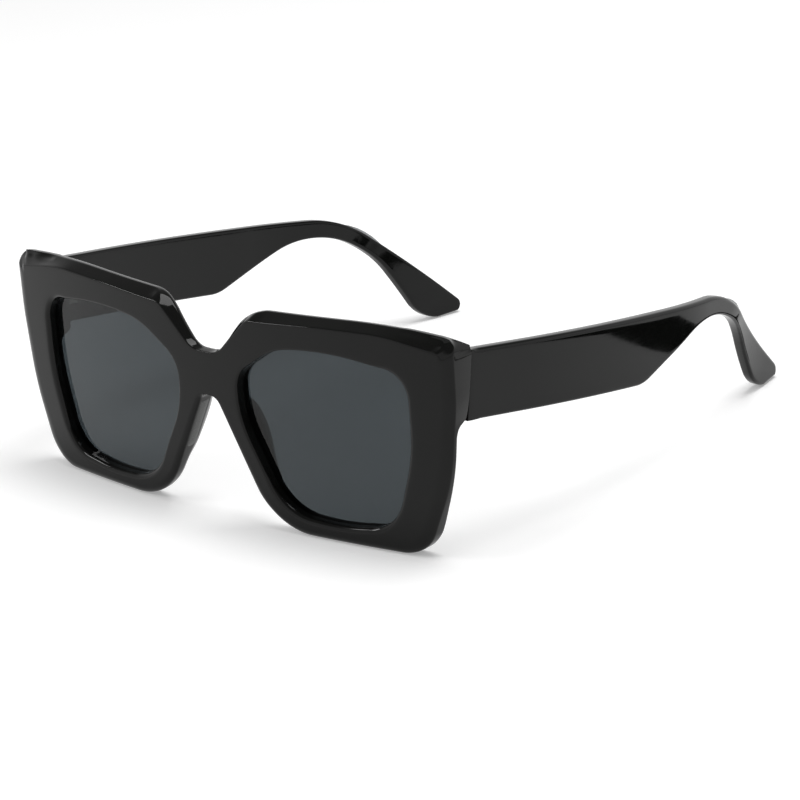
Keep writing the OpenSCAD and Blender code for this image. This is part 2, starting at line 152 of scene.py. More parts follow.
class Line:
    """A line of straight runs and corner arcs in a plane, walked by its length."""

    FINE = 0.05

    def __init__(
        self,
        corners: Sequence[Sequence[float]],
        closed: bool,
        side: int = 1,
        turn: float = 6.0,
        reach: float = 1.6,
    ) -> None:
        """Lays the line and picks the stops where a mesh has its points.

        Args:
            corners: rows of (u, v, radius), in walking order.
            closed: whether the last corner joins the first.
            side: 1 where inward is right of the walking direction, -1 where it is left.
            turn: the most that a mesh may turn from stop to stop, in degrees.
            reach: the most that a mesh may run straight from stop to stop.
        """
        pts = np.array([c[:2] for c in corners], float)
        count = len(pts)
        line: list[np.ndarray] = []
        stops: list[np.ndarray] = []
        self.middles: list[np.ndarray] = []
        for i, corner in enumerate(corners):
            p, before, after = pts[i], pts[i - 1], pts[(i + 1) % count]
            if corner[2] <= 0 or (not closed and i in (0, count - 1)):
                arc = p[None]
                nodes = arc
                self.middles.append(p)
            else:
                u, v = unit(before - p), unit(after - p)
                half = math.acos(float(np.clip(u @ v, -1, 1))) / 2
                centre = p + unit(u + v) * corner[2] / math.sin(half)
                start = p + u * corner[2] / math.tan(half) - centre
                end = p + v * corner[2] / math.tan(half) - centre
                first = math.atan2(start[1], start[0])
                sweep = (math.atan2(end[1], end[0]) - first + math.pi) % (2 * math.pi) - math.pi

                def walk(n: int) -> np.ndarray:
                    """Steps along the corner's arc.

                    Args:
                        n: how many steps to take.

                    Returns:
                        The points, with both ends.
                    """
                    angle = first + sweep * np.linspace(0, 1, n + 1)
                    return centre + corner[2] * np.stack([np.cos(angle), np.sin(angle)], 1)

                length = abs(sweep) * corner[2]
                arc = walk(max(2, math.ceil(length / self.FINE)))
                nodes = walk(max(2, math.ceil(math.degrees(abs(sweep)) / turn), math.ceil(length / reach)))
                self.middles.append(walk(2)[1])
            if line:
                run = self._run(line[-1][-1], arc[0], self.FINE)
                if len(run):
                    line.append(run)
                stops.append(self._run(stops[-1][-1], nodes[0], reach))
            line.append(arc)
            stops.append(nodes)
        if closed:
            line.append(self._run(line[-1][-1], line[0][0], self.FINE))
            stops.append(self._run(stops[-1][-1], stops[0][0], reach))
            line.append(line[0][:1])
        self.points = np.concatenate(line)
        self.closed = closed
        keep = np.r_[True, np.linalg.norm(np.diff(self.points, axis=0), axis=1) > 1e-7]
        self.points = self.points[keep]
        steps = np.diff(self.points, axis=0)
        self.lengths = np.r_[0, np.cumsum(np.linalg.norm(steps, axis=1))]
        across = unit(np.stack([steps[:, 1], -steps[:, 0]], 1)) * side
        self.normals = np.empty_like(self.points)
        self.normals[1:-1] = unit(across[1:] + across[:-1])
        self.normals[0], self.normals[-1] = across[0], across[-1]
        if closed:
            self.normals[0] = self.normals[-1] = unit(across[0] + across[-1])
        self.stops = np.sort(np.array([self.nearest(p) for p in np.concatenate(stops)]))

    @staticmethod
    def _run(a: np.ndarray, b: np.ndarray, step: float) -> np.ndarray:
        """Points strictly between two points, about a step apart.

        Args:
            a: the first point.
            b: the last point.
            step: the distance wanted.

        Returns:
            The points, without the two ends.
        """
        n = math.ceil(float(np.linalg.norm(b - a)) / step)
        return a + (b - a) * np.arange(1, n)[:, None] / max(n, 1)

    @property
    def length(self) -> float:
        """The whole length.

        Returns:
            The length in mm.
        """
        return float(self.lengths[-1])

    def nearest(self, point: Sequence[float]) -> float:
        """The length at which the line passes closest to a point.

        Args:
            point: a point (x, y).

        Returns:
            The length from the line's start in mm.
        """
        gap = np.linalg.norm(self.points - np.asarray(point), axis=1)
        return float(self.lengths[int(gap.argmin())])

    def at(self, s: np.ndarray) -> tuple[np.ndarray, np.ndarray]:
        """Points and inward normals at lengths, past the end too on a closed line.

        Args:
            s: the lengths in mm.

        Returns:
            The points, and the unit normals there.
        """
        s = np.asarray(s, float)
        if self.closed:
            s = np.mod(s, self.length)
        p = np.stack([np.interp(s, self.lengths, self.points[:, k]) for k in (0, 1)], -1)
        n = np.stack([np.interp(s, self.lengths, self.normals[:, k]) for k in (0, 1)], -1)
        return p, unit(n)

    def round_stops(self) -> np.ndarray:
        """The stops of a closed line, without a last one on top of the first.

        Returns:
            The lengths in mm.
        """
        return self.stops[:-1] if self.stops[-1] > self.length - self.FINE else self.stops


def thinned(paired: np.ndarray, gap: float) -> list[int]:
    """The columns to keep so that each lies further on than the last one by a gap.

    Args:
        paired: one row of rising lengths for each line.
        gap: the least step in mm.

    Returns:
        The numbers of the columns, with the first and the last one among them.
    """
    last = paired.shape[1] - 1
    keep = [0]
    for i in range(1, last + 1):
        if (paired[:, i] - paired[:, keep[-1]]).max() > gap:
            keep.append(i)
    if keep[-1] != last:
        keep[-1] = last
    return keep


def eased(corners: Sequence[Sequence[float]]) -> list[tuple[float, float, float]]:
    """Corners whose rounding is a share of their shorter edge, with radii in its place.

    Args:
        corners: the corners as (x, y, share).

    Returns:
        The corners as (x, y, radius).
    """
    pts = np.array([c[:2] for c in corners], float)
    made = []
    for i, corner in enumerate(corners):
        u, v = pts[i - 1] - pts[i], pts[(i + 1) % len(pts)] - pts[i]
        half = math.acos(float(np.clip(unit(u) @ unit(v), -1, 1))) / 2
        shorter = min(np.linalg.norm(u), np.linalg.norm(v))
        made.append((pts[i][0], pts[i][1], corner[2] * shorter * math.tan(half)))
    return made


class Shell:
    """Collects points and faces in millimetres, and turns them into a mesh object."""

    def __init__(self) -> None:
        """Starts without points or faces."""
        self.points: list[np.ndarray] = []
        self.faces: list[tuple[int, ...]] = []
        self.count = 0

    def add(self, points: np.ndarray) -> int:
        """Adds points and returns the number of the first.

        Args:
            points: the points in mm.

        Returns:
            The number of the first point added.
        """
        flat = np.asarray(points, float).reshape(-1, 3)
        self.points.append(flat)
        start = self.count
        self.count += len(flat)
        return start

    def grid(self, points: np.ndarray, wrap_u: bool = False, wrap_v: bool = False) -> None:
        """Adds a grid of points and the quads between them.

        Args:
            points: the points as rows and columns.
            wrap_u: whether the last row joins the first.
            wrap_v: whether the last column joins the first.
        """
        rows, columns = points.shape[:2]
        start = self.add(points)
        for i in range(rows if wrap_u else rows - 1):
            for j in range(columns if wrap_v else columns - 1):
                k, m = (i + 1) % rows, (j + 1) % columns
                a, b = start + i * columns, start + k * columns
                self.faces.append((a + j, b + j, b + m, a + m))

    def fan(self, ring: np.ndarray) -> None:
        """Closes a ring of points with triangles to its middle.

        Args:
            ring: the points around the opening.
        """
        start = self.add(ring)
        middle = self.add(ring.mean(0)[None])
        for i in range(len(ring)):
            self.faces.append((start + i, start + (i + 1) % len(ring), middle))

    def tube(self, rings: np.ndarray) -> None:
        """Adds a closed tube through rings of points, with both ends shut.

        Args:
            rings: the rings in their order, each with as many points.
        """
        self.grid(rings, wrap_v=True)
        self.fan(rings[0])
        self.fan(rings[-1])

    def lathe(self, profile: Sequence[Sequence[float]], segments: int = 48) -> None:
        """Turns a closed profile of (radius, height) about Z.

        Args:
            profile: the profile's corners in mm.
            segments: how many steps make the turn.
        """
        angle = np.linspace(0, 2 * math.pi, segments, endpoint=False)
        p = np.array(profile, float)
        ring = np.stack(
            [
                np.cos(angle)[:, None] * p[:, 0],
                np.sin(angle)[:, None] * p[:, 0],
                np.broadcast_to(p[:, 1], (segments, len(p))),
            ],
            -1,
        )
        self.grid(ring, wrap_u=True, wrap_v=True)

    def prism(self, outline: np.ndarray, low: float, high: float, bevel: float) -> None:
        """Stands a convex outline of (x, y) up from low to high, with bevelled rims.

        Args:
            outline: the outline's corners in mm, counterclockwise.
            low: height of the underside.
            high: height of the top.
            bevel: width of the bevels.
        """
        outline = np.asarray(outline, float)
        before, after = np.roll(outline, 1, 0), np.roll(outline, -1, 0)
        a, b = unit(outline - before), unit(after - outline)
        left = np.stack([-a[:, 1], a[:, 0]], 1)
        right = np.stack([-b[:, 1], b[:, 0]], 1)
        inward = (left + right) / (1 + (left * right).sum(1, keepdims=True))
        rings = []
        for inset, height in ((bevel, low), (0, low + bevel), (0, high - bevel), (bevel, high)):
            flat = outline + inward * inset
            rings.append(np.c_[flat, np.full(len(flat), height)])
        self.tube(np.stack(rings))

    def box(self, low: Sequence[float], high: Sequence[float], bevel: float) -> None:
        """Adds a block with bevelled rims.

        Args:
            low: the lowest corner in mm.
            high: the highest corner in mm.
            bevel: width of the bevels.
        """
        x0, y0, z0 = low
        x1, y1, z1 = high
        self.prism(np.array([(x0, y0), (x1, y0), (x1, y1), (x0, y1)]), z0, z1, bevel)

    def moved(self, matrix: Matrix) -> "Shell":
        """The same shell, moved by a matrix.

        Args:
            matrix: the move, with lengths in mm.

        Returns:
            This shell itself.
        """
        m = np.array(matrix)
        self.points = [p @ m[:3, :3].T + m[:3, 3] for p in self.points]
        return self

    def join(self, other: "Shell") -> None:
        """Adds another shell to this one.

        Args:
            other: the shell to add.
        """
        start = self.count
        for p in other.points:
            self.add(p)
        self.faces += [tuple(i + start for i in f) for f in other.faces]

    def mirrored(self) -> "Shell":
        """A copy on the other side of the middle plane.

        Returns:
            The new shell.
        """
        other = Shell()
        other.points = [p * (-1, 1, 1) for p in self.points]
        other.count = self.count
        other.faces = [f[::-1] for f in self.faces]
        return other

    def on(self, side: Side) -> "Shell":
        """The shell for one side, where this one was made for the left.

        Args:
            side: the wearer's side.

        Returns:
            This shell, or its mirrored copy for the right.
        """
        return self.mirrored() if side is Side.RIGHT else self

    def build(self, name: str, weld: float = 1e-4, sharp: float = 38.0) -> bpy.types.Object:
        """Makes the mesh object, in metres in the frame of the scene.

        Args:
            name: the object's name.
            weld: points closer than this, in millimetres, become one.
            sharp: edges that turn by more degrees than this stay sharp.

        Returns:
            The new object, linked to the scene.
        """
        points = np.concatenate(self.points)
        points = (points - (0, TEMPLE_END / 2, 0)) * MM
        mesh = bpy.data.meshes.new(name)
        mesh.from_pydata(points.tolist(), [], self.faces)
        bm = bmesh.new()
        bm.from_mesh(mesh)
        bmesh.ops.remove_doubles(bm, verts=bm.verts, dist=weld * MM)
        bmesh.ops.dissolve_degenerate(bm, edges=bm.edges, dist=weld * MM)
        bmesh.ops.recalc_face_normals(bm, faces=bm.faces)
        bm.to_mesh(mesh)
        bm.free()
        mesh.polygons.foreach_set("use_smooth", np.ones(len(mesh.polygons), bool))
        mesh.set_sharp_from_angle(angle=math.radians(sharp))
        made = bpy.data.objects.new(name, mesh)
        bpy.context.scene.collection.objects.link(made)
        return made


# Finishes


def linear(hex_colour: str) -> tuple[float, float, float, float]:
    """An sRGB hex colour as a linear one with full alpha.

    Args:
        hex_colour: the colour as # and six hex digits.

    Returns:
        Red, green, blue and alpha.
    """
    value = hex_colour.lstrip("#")
    parts = [int(value[i : i + 2], 16) / 255 for i in (0, 2, 4)]
    return tuple(c / 12.92 if c <= 0.04045 else ((c + 0.055) / 1.055) ** 2.4 for c in parts) + (1.0,)


def node(
    tree: bpy.types.NodeTree, kind: str, links: Optional[dict] = None, **settings: object
) -> bpy.types.Node:
    """Adds a node.

    Args:
        tree: the node tree.
        kind: the node's type name.
        links: input names and the sockets that feed them.
        settings: attributes of the node, or inputs with spaces written as underscores.

    Returns:
        The new node.
    """
    made = tree.nodes.new(kind)
    for key, value in settings.items():
        if hasattr(made, key):
            setattr(made, key, value)
        else:
            made.inputs[key.replace("_", " ")].default_value = value
    for key, source in (links or {}).items():
        tree.links.new(source, made.inputs[key])
    return made


def fresh(name: str) -> tuple[bpy.types.Material, bpy.types.NodeTree]:
    """Starts a material with an empty node tree.

    Args:
        name: name of the material.

    Returns:
        The material and its tree.
    """
    made = bpy.data.materials.new(name)
    made.use_nodes = True
    made.node_tree.nodes.clear()
    return made, made.node_tree


def noise(
    tree: bpy.types.NodeTree, vector: bpy.types.NodeSocket, width_mm: float, **settings: object
) -> bpy.types.NodeSocket:
    """Adds a noise pattern of a real size.

    Args:
        tree: the material's tree.
        vector: the coordinates in metres.
        width_mm: the pattern's size on the real thing.
        **settings: values for the node, as in node().

    Returns:
        The pattern's value, from 0 to 1.
    """
    made = node(tree, "ShaderNodeTexNoise", {"Vector": vector}, Scale=1 / (width_mm * MM), **settings)
    return made.outputs["Fac"]


def ranged(
    tree: bpy.types.NodeTree,
    value: bpy.types.NodeSocket,
    span: tuple[float, float],
    to: tuple[float, float],
    **settings: object,
) -> bpy.types.NodeSocket:
    """Adds a node that carries a value from one span over to another.

    Args:
        tree: the tree.
        value: the value to carry over.
        span: the span that it comes from.
        to: the span that it goes to.
        **settings: values for the node, as in node().

    Returns:
        The value in the new span.
    """
    ends = {"From_Min": span[0], "From_Max": span[1], "To_Min": to[0], "To_Max": to[1]}
    return node(tree, "ShaderNodeMapRange", {"Value": value}, **settings, **ends).outputs[0]


def mixed(
    tree: bpy.types.NodeTree, factor: bpy.types.NodeSocket, low: str, high: str
) -> bpy.types.NodeSocket:
    """Adds a node that mixes two sRGB hex colours.

    Args:
        tree: the tree.
        factor: the share of the second colour.
        low: the first colour.
        high: the second colour.

    Returns:
        The mixed colour.
    """
    made = node(tree, "ShaderNodeMix", {"Factor": factor}, data_type="RGBA")
    made.inputs[MIX_LOW].default_value = linear(low)
    made.inputs[MIX_HIGH].default_value = linear(high)
    return made.outputs[MIX_COLOUR]


def finished(tree: bpy.types.NodeTree, body: bpy.types.Node) -> None:
    """Joins a shader to the output.

    Args:
        tree: the material's tree.
        body: the shader.
    """
    node(tree, "ShaderNodeOutputMaterial", {"Surface": body.outputs[0]})


@dataclass(frozen=True)
class Plastic:
    """Moulded and tumble-polished plastic: a deep clear gloss with the faintest ripple.

    Attributes:
        name: the material's name.
        dark: colour of the plastic.
        light: colour of its thinner, paler clouds.
        polish: roughness of the best polished places.
        dull: roughness of the least polished places.
        ripple_mm: width of the mould's ripple.
        ripple: strength of that ripple.
        hairline_mm: spacing of the polishing hairlines.
        gloss: level of the mirrored light, where 0.5 is that of bare clear plastic.
    """

    name: str
    dark: str
    light: str
    polish: float
    dull: float
    ripple_mm: float
    ripple: float
    hairline_mm: float
    gloss: float

    CLOUD_MM = 6
    HAIR_SCALE = (1.0, 0.08, 1.0)
    HAIR_TURN = (0.3, 0.2, 0.5)
    HAIR_SPAN = (0.3, 0.75)
    RIPPLE_DEEP = 0.02
    INDEX = 1.49

    def make(self) -> bpy.types.Material:
        """Makes the material.

        Returns:
            The new material.
        """
        made, tree = fresh(self.name)
        place = node(tree, "ShaderNodeTexCoord").outputs["Object"]
        cloud = noise(tree, place, self.CLOUD_MM, Detail=3.0, Roughness=0.55)
        colour = mixed(tree, cloud, self.dark, self.light)
        hairs = node(
            tree, "ShaderNodeMapping", {"Vector": place}, Scale=self.HAIR_SCALE, Rotation=self.HAIR_TURN
        )
        line = noise(tree, hairs.outputs[0], self.hairline_mm, Detail=4.0)
        gloss = ranged(tree, line, self.HAIR_SPAN, (self.polish, self.dull))
        wave = noise(tree, place, self.ripple_mm, Detail=1.0)
        bump = node(
            tree, "ShaderNodeBump", {"Height": wave}, Strength=self.ripple, Distance=self.RIPPLE_DEEP * MM
        )
        body = node(
            tree,
            "ShaderNodeBsdfPrincipled",
            {"Base Color": colour, "Roughness": gloss, "Normal": bump.outputs[0]},
            IOR=self.INDEX,
            Specular_IOR_Level=self.gloss,
        )
        finished(tree, body)
        return made


@dataclass(frozen=True)
class Lens:
    """Tinted cast lens sheet: it passes little light and mirrors the room in its clear gloss.

    Attributes:
        name: the material's name.
        tint: colour that each face lets through.
        polish: roughness of the faces.
        smear: roughness of the faintest wiping marks.
        index: refractive index, which sets how strongly the faces mirror.
    """

    name: str
    tint: str
    polish: float
    smear: float
    index: float

    WIPE_MM = 9
    WIPE_SCALE = (1.0, 1.0, 0.35)
    WIPE_TURN = (0, 0.6, 0)
    WIPE_SPAN = (0.45, 0.8)

    def make(self) -> bpy.types.Material:
        """Makes the material.

        Returns:
            The new material.
        """
        made, tree = fresh(self.name)
        place = node(tree, "ShaderNodeTexCoord").outputs["Object"]
        wipe = node(
            tree, "ShaderNodeMapping", {"Vector": place}, Scale=self.WIPE_SCALE, Rotation=self.WIPE_TURN
        )
        marks = noise(tree, wipe.outputs[0], self.WIPE_MM, Detail=5.0)
        gloss = ranged(tree, marks, self.WIPE_SPAN, (self.polish, self.smear))
        body = node(
            tree,
            "ShaderNodeBsdfPrincipled",
            {"Roughness": gloss},
            IOR=self.index,
            Transmission_Weight=1.0,
            Base_Color=linear(self.tint),
        )
        finished(tree, body)
        return made


@dataclass(frozen=True)
class Metal:
    """Machined small metalwork: fine tool lines that stretch the highlights.

    Attributes:
        name: the material's name.
        bright: colour of the clean metal.
        worn: colour of its duller places.
        polish: roughness of the bright places.
        dull: roughness of the duller ones.
        line_mm: spacing of the tool lines.
        along: scale of the lines along X, Y and Z.
    """

    name: str
    bright: str
    worn: str
    polish: float
    dull: float
    line_mm: float
    along: tuple[float, float, float]

    LINE_SPAN = (0.3, 0.7)
    LINE_CUT = 0.25
    LINE_DEEP = 0.01

    def make(self) -> bpy.types.Material:
        """Makes the material.

        Returns:
            The new material.
        """
        made, tree = fresh(self.name)
        place = node(tree, "ShaderNodeTexCoord").outputs["Object"]
        drawn = node(tree, "ShaderNodeMapping", {"Vector": place}, Scale=self.along)
        lines = noise(tree, drawn.outputs[0], self.line_mm, Detail=3.0)
        colour = mixed(tree, lines, self.bright, self.worn)
        gloss = ranged(tree, lines, self.LINE_SPAN, (self.polish, self.dull))
        bump = node(
            tree, "ShaderNodeBump", {"Height": lines}, Strength=self.LINE_CUT, Distance=self.LINE_DEEP * MM
        )
        body = node(
            tree,
            "ShaderNodeBsdfPrincipled",
            {"Base Color": colour, "Roughness": gloss, "Normal": bump.outputs[0]},
            Metallic=1.0,
        )
        finished(tree, body)
        return made


# Black cellulose acetate, cut thick and tumbled: near black with a trace of green and brown
FRONT_ACETATE = Plastic("black_polished_acetate_front", "#0a0b0a", "#111110", 0.05, 0.11, 7.0, 0.25, 0.5, 0.2)
# The same sheet in the temples, with a little more polish
TEMPLE_ACETATE = Plastic(
    "black_polished_acetate_temple", "#090a09", "#0f100f", 0.04, 0.10, 9.0, 0.22, 0.5, 0.22
)
# Pads of the same plastic, left a little duller where the wheel can't reach; their colours are painted paler
# than the front's, a painted sheen
PAD_ACETATE_PAINTED_SHEEN = Plastic("satin_acetate_pad_painted_sheen", "#232523", "#2d2f2c", 0.2, 0.3, 4.0, 0.3, 0.4, 0.5)
# Smoke grey lens sheet. Its index is set below a real one, for the faint mirror of the photograph
SMOKE_LENS = Lens("smoke_grey_cast_lens", "#353b3e", 0.015, 0.04, 1.31)
# Nickel silver, milled and brushed: warm pale metal
NICKEL_SILVER = Metal("brushed_nickel_silver_hinge", "#cfc8ba", "#b3ab9c", 0.2, 0.36, 0.15, (1.0, 1.0, 6.0))
# Turned steel: cool grey, with fine tool lines
TURNED_STEEL = Metal("turned_steel_screw", "#c4c6c8", "#a2a4a6", 0.18, 0.3, 0.12, (1.0, 1.0, 8.0))
# Drawn steel wire, matt from the die
DRAWN_STEEL = Metal("drawn_steel_core", "#a8aaab", "#8b8d8e", 0.3, 0.45, 0.15, (6.0, 0.5, 6.0))


# The front


@dataclass
class Front:
    """The front: both rims, the bridge and the end pieces, all one moulding."""

    half_width: float = 75.7
    height: float = 57.8
    thick: float = 5.2
    wrap: float = 366.0
    bridge_thick: float = 3.1
    scoop_radius: float = 60.0
    scoop_z: float = 50.0
    side_back: float = 10.9
    opening_x: float = 10.3
    opening_w: float = 52.6
    opening_z: float = 4.8
    opening_h: float = 44.6
    butt_y: float = 15.2
    butt_z: float = 43.55
    slope: float = math.tan(math.radians(8.9))
    end_x: float = 63.5
    end_top: float = 53.5
    end_slope: float = 1.65
    bevel_z: float = 51.6
    bevel_lean: float = 0.38
    crease_gaps: tuple[float, float] = (-0.02, 0.3)
    groove: tuple[float, float, float] = (2.65, 4.35, 0.9)
    # How finely the mesh is laid
    face_rows: int = 7
    back_rows: int = 28
    edge_rows: int = 5
    wall_rows: int = 12
    heel_rows: int = 8
    rim_rows: tuple[int, int] = (7, 4)
    bridge_columns: int = 13
    least_step: float = 0.25
    # Roundings of the steps in the back face
    step_blend: float = 0.6
    scoop_blend: float = 0.5
    # The end piece's foot
    foot_z: float = 31.4
    foot_run: float = 3.9
    foot_most: float = 0.985
    foot_sink: float = 1.4
    foot_rise: float = 5.0
    foot_cut: float = 30
    foot_cut_z: tuple[float, float] = (35.2, 36.0)
    end_inner: float = 1.65
    end_reach: float = 4
    # Spans of x, y or z over which a form of the outer side sets in
    bevel_y: tuple[float, float] = (2.0, 4.5)
    bevel_x: tuple[float, float] = (71.0, 73.5)
    top_z: tuple[float, float] = (53.0, 56.6)
    bridge_x: tuple[float, float] = (13.0, 20.0)
    slope_z: tuple[float, float] = (42.0, 45.0)
    side_x: tuple[float, float] = (64.0, 72.0)
    low_z: tuple[float, float] = (2.0, 9.0)
    nose_x: tuple[float, float] = (17.0, 22.0)
    nose_z: tuple[float, float] = (28.0, 34.0)
    heel_z: tuple[float, float] = (9.0, 20.0)
    heel_x: tuple[float, float] = (21.0, 34.0)
    end_low_z: tuple[float, float] = (34.2, 35.4)
    end_high_z: tuple[float, float] = (54.0, 56.0)
    thin_x: tuple[float, float] = (66.0, 73.0)
    thin_z: tuple[float, float] = (31.5, 35.0)
    corner_x: tuple[float, float] = (63.0, 74.5)
    side_blend: tuple[float, float] = (0.3, 0.8)
    # Roundings of the outer side, and the least of it that stays flat
    corner_crest: float = 2.6
    least_flat: float = 0.1
    back_most: float = 0.6
    crest_round: tuple[float, float] = (0.3, 0.2)
    back_round: float = 0.5
    # The opening's edge: where it turns softer, and its roundings
    rim_x: tuple[float, float] = (52.0, 61.0)
    rim_z: tuple[float, float] = (6.5, 16.0)
    rim_front: Sequence[Sequence[float]] = ((0.6, 1.1), (0.55, 0.6))
    rim_back: float = 0.4
    # The lenses
    lens_gap: float = 0.05
    lens_bevel: float = 0.25
    lens_edge: float = 0.8
    lens_shares: Sequence[float] = (0.02, 0.15, 0.3, 0.45, 0.6, 0.75, 0.88, 0.97)
    # The nose pads
    pad_rows: int = 41
    pad_columns: int = 61
    pad_top: float = 31.0
    pad_foot: float = 9.0
    pad_inset: float = 4.3
    pad_reach: float = 4.6
    pad_sink: float = 1.2
    pad_least: float = 0.02
    pad_swell: Sequence[Sequence[float]] = (
        (0, 0.0),
        (0.04, 0.42),
        (0.13, 0.86),
        (0.25, 1.0),
        (0.42, 1.0),
        (0.6, 0.78),
        (0.8, 0.42),
        (0.93, 0.22),
        (1, 0.0),
    )
    pad_section: Sequence[Sequence[float]] = (
        (1.6, 0.9, 0.0),
        (1.1, 0.15, 0.0),
        (0.3, 0.35, 0.0),
        (-0.1, 1.2, 0.0),
        (-0.1, 2.4, 0.0),
        (-0.1, 3.7, 0.0),
        (0.2, 5.0, 0.1),
        (1.2, 5.2, 0.5),
        (2.6, 5.2, 0.86),
        (4.0, 5.2, 1.0),
        (5.2, 5.2, 0.8),
        (6.1, 5.0, 0.3),
        (6.2, 4.7, 0.0),
        (3.6, 4.7, 0.0),
    )
    outline_shares: Sequence[Sequence[float]] = (
        (0.054, 0.766, 0.312),
        (0.188, 0.977, 0.360),
        (0.658, 1.001, 0.274),
        (1.003, 0.986, 0.212),
        (1.000, 0.700, 0.182),
        (0.966, 0.356, 0.338),
        (0.861, 0.000, 0.330),
        (0.253, 0.000, 0.319),
        (0.032, 0.559, 0.399),
    )
    face_corners: Sequence[Sequence[float]] = (
        (4.4, 44.1, 0.312),
        (15.1, 54.4, 0.070),
        (37.9, 56.05, 0.400),
        (57.5, 56.4, 0.400),
        (72.5, 53.25, 0.040),
        (72.4, 40.5, 0.200),
        (69.9, 20.6, 0.338),
        (62.4, 2.1, 0.330),
        (20.7, 1.9, 0.300),
        (3.7, 32.7, 0.330),
    )
    opening_shares: Sequence[Sequence[float]] = (
        (0.236, 0.011, 0.515),
        (0.565, -0.011, 0.357),
        (0.888, 0.034, 0.436),
        (0.999, 0.498, 0.318),
        (0.997, 0.942, 0.333),
        (0.565, 1.016, 0.641),
        (0.245, 0.974, 0.345),
        (0.001, 0.787, 0.387),
        (0.000, 0.522, 0.524),
    )

    def opening(self) -> list[tuple[float, float, float]]:
        """The corners of the left lens opening, counterclockwise seen from the front.

        Returns:
            The corners as (x, z, radius).
        """
        return eased(
            [
                (self.opening_x + u * self.opening_w, self.opening_z + v * self.opening_h, share)
                for u, v, share in self.opening_shares
            ]
        )

    def outline(self) -> list[tuple[float, float, float]]:
        """The corners of half of the outline, from the bridge's top to its underside.

        Returns:
            The corners as (x, z, radius).
        """
        shares = self.outline_shares
        return self._half([(u * self.half_width, v * self.height, share) for u, v, share in shares])

    @staticmethod
    def _half(half: Sequence[Sequence[float]]) -> list[tuple[float, float, float]]:
        """Half of a symmetrical line as corners with radii, with its ends on the middle plane.

        Args:
            half: the corners on the left as (x, z, share), the first and the last one nearest the middle.

        Returns:
            The corners as (x, z, radius).
        """
        whole = eased([*half, *((-x, z, share) for x, z, share in half[::-1])])[: len(half)]
        return [(0.0, half[0][1], 0.0), *whole, (0.0, half[-1][1], 0.0)]

    def front_y(self, x: np.ndarray, z: np.ndarray) -> np.ndarray:
        """Depth of the front face.

        Args:
            x: widths in mm.
            z: heights in mm, the same as for back_y; the front face curves across only.

        Returns:
            Depths in mm.
        """
        return self.wrap - np.sqrt(self.wrap**2 - np.asarray(x, float) ** 2)

    def butt_at(self, z: np.ndarray) -> np.ndarray:
        """Depth of the plane that the temple closes against.

        Args:
            z: heights in mm.

        Returns:
            Depths in mm.
        """
        return self.butt_y + (z - self.butt_z) * self.slope

    def back_y(self, x: np.ndarray, z: np.ndarray) -> np.ndarray:
        """Depth of the back face, with the bridge's hollow and the end piece.

        Args:
            x: widths in mm.
            z: heights in mm.

        Returns:
            Depths in mm.
        """
        x, z = np.asarray(x, float), np.asarray(z, float)
        plain = soft_min(self.front_y(x, z) + self.thick, np.full_like(x, self.side_back), self.step_blend)
        inside = np.clip(self.scoop_radius**2 - x**2 - (z - self.scoop_z) ** 2, 0, None)
        scoop = self.bridge_thick + self.scoop_radius - np.sqrt(inside)
        plain = soft_min(plain, scoop, self.scoop_blend)
        foot = np.clip((z - self.foot_z) / self.foot_run, 0, self.foot_most)
        under = self.side_back - self.foot_sink + self.foot_rise * (1 - np.sqrt(1 - foot**2))
        under = under + self.foot_cut * ease(z, *self.foot_cut_z)
        inner = self.butt_y + (x - self.end_x) * self.end_inner
        top = self.butt_at(self.end_top) - (z - self.end_top) * self.end_slope
        end = np.minimum(np.minimum(self.butt_at(z), top), np.minimum(under, inner))
        return np.where(x > self.end_x - self.end_reach, soft_max(plain, end, self.step_blend), plain)

    def edge(self, p: np.ndarray, depth: np.ndarray) -> dict[str, np.ndarray]:
        """How the outer side is shaped at points of the outline.

        Args:
            p: points (x, z) on the outline.
            depth: the thickness there.

        Returns:
            round: 1 where the side rolls off in a quarter round, 0 where it is a flat cut.
            crest: depth of the widest place.
            front: the small rounding of the front edge.
            back_a, back_b: the back rounding along the face and along the side.
            tuck: how far the back edge of the end piece is set in.
        """
        x, z = p[:, 0], p[:, 1]
        top = ease(z, *self.top_z) * ease(x, *self.bridge_x)
        slope = (1 - ease(x, *self.bridge_x)) * ease(z, *self.slope_z)
        side = ease(x, *self.side_x) * (1 - top)
        low = 1 - ease(z, *self.low_z)
        nose = (1 - ease(x, *self.nose_x)) * (1 - ease(z, *self.nose_z)) * (1 - low)
        heel = (1 - ease(z, *self.heel_z)) * (1 - ease(x, *self.heel_x))
        end = ease(x, *self.bevel_x) * ease(z, *self.end_low_z) * (1 - ease(z, *self.end_high_z))
        thin = ease(x, *self.thin_x) * (1 - ease(z, *self.thin_z))
        soft = 0.9 * low * (1 - thin) * (1 - heel)
        # Each form adds to the back rounding by its own weight, in mm
        back_a = self.back_round + 0.3 * slope - 0.15 * top + 1.6 * thin + 2.2 * heel + soft - 0.25 * end
        back_b = self.back_round + 0.9 * slope + 0.9 * top + 0.8 * thin + 2.2 * heel + soft - 0.25 * end
        corner = ease(x, *self.corner_x)
        high = (np.minimum(depth, self.thick) - back_b - self.least_flat) * (1 - corner)
        high = high + self.corner_crest * corner
        flat = np.maximum(top, slope)
        gentle = 0.9 + 0.45 * side + 0.9 * low * (1 - side) + 0.2 * nose
        return {
            "round": 1 - flat,
            "crest": gentle * (1 - flat) + high * flat,
            "front": 0.04 + 0.3 * flat,
            "back_a": back_a,
            "back_b": back_b,
            "tuck": 0.5 * end,
        }

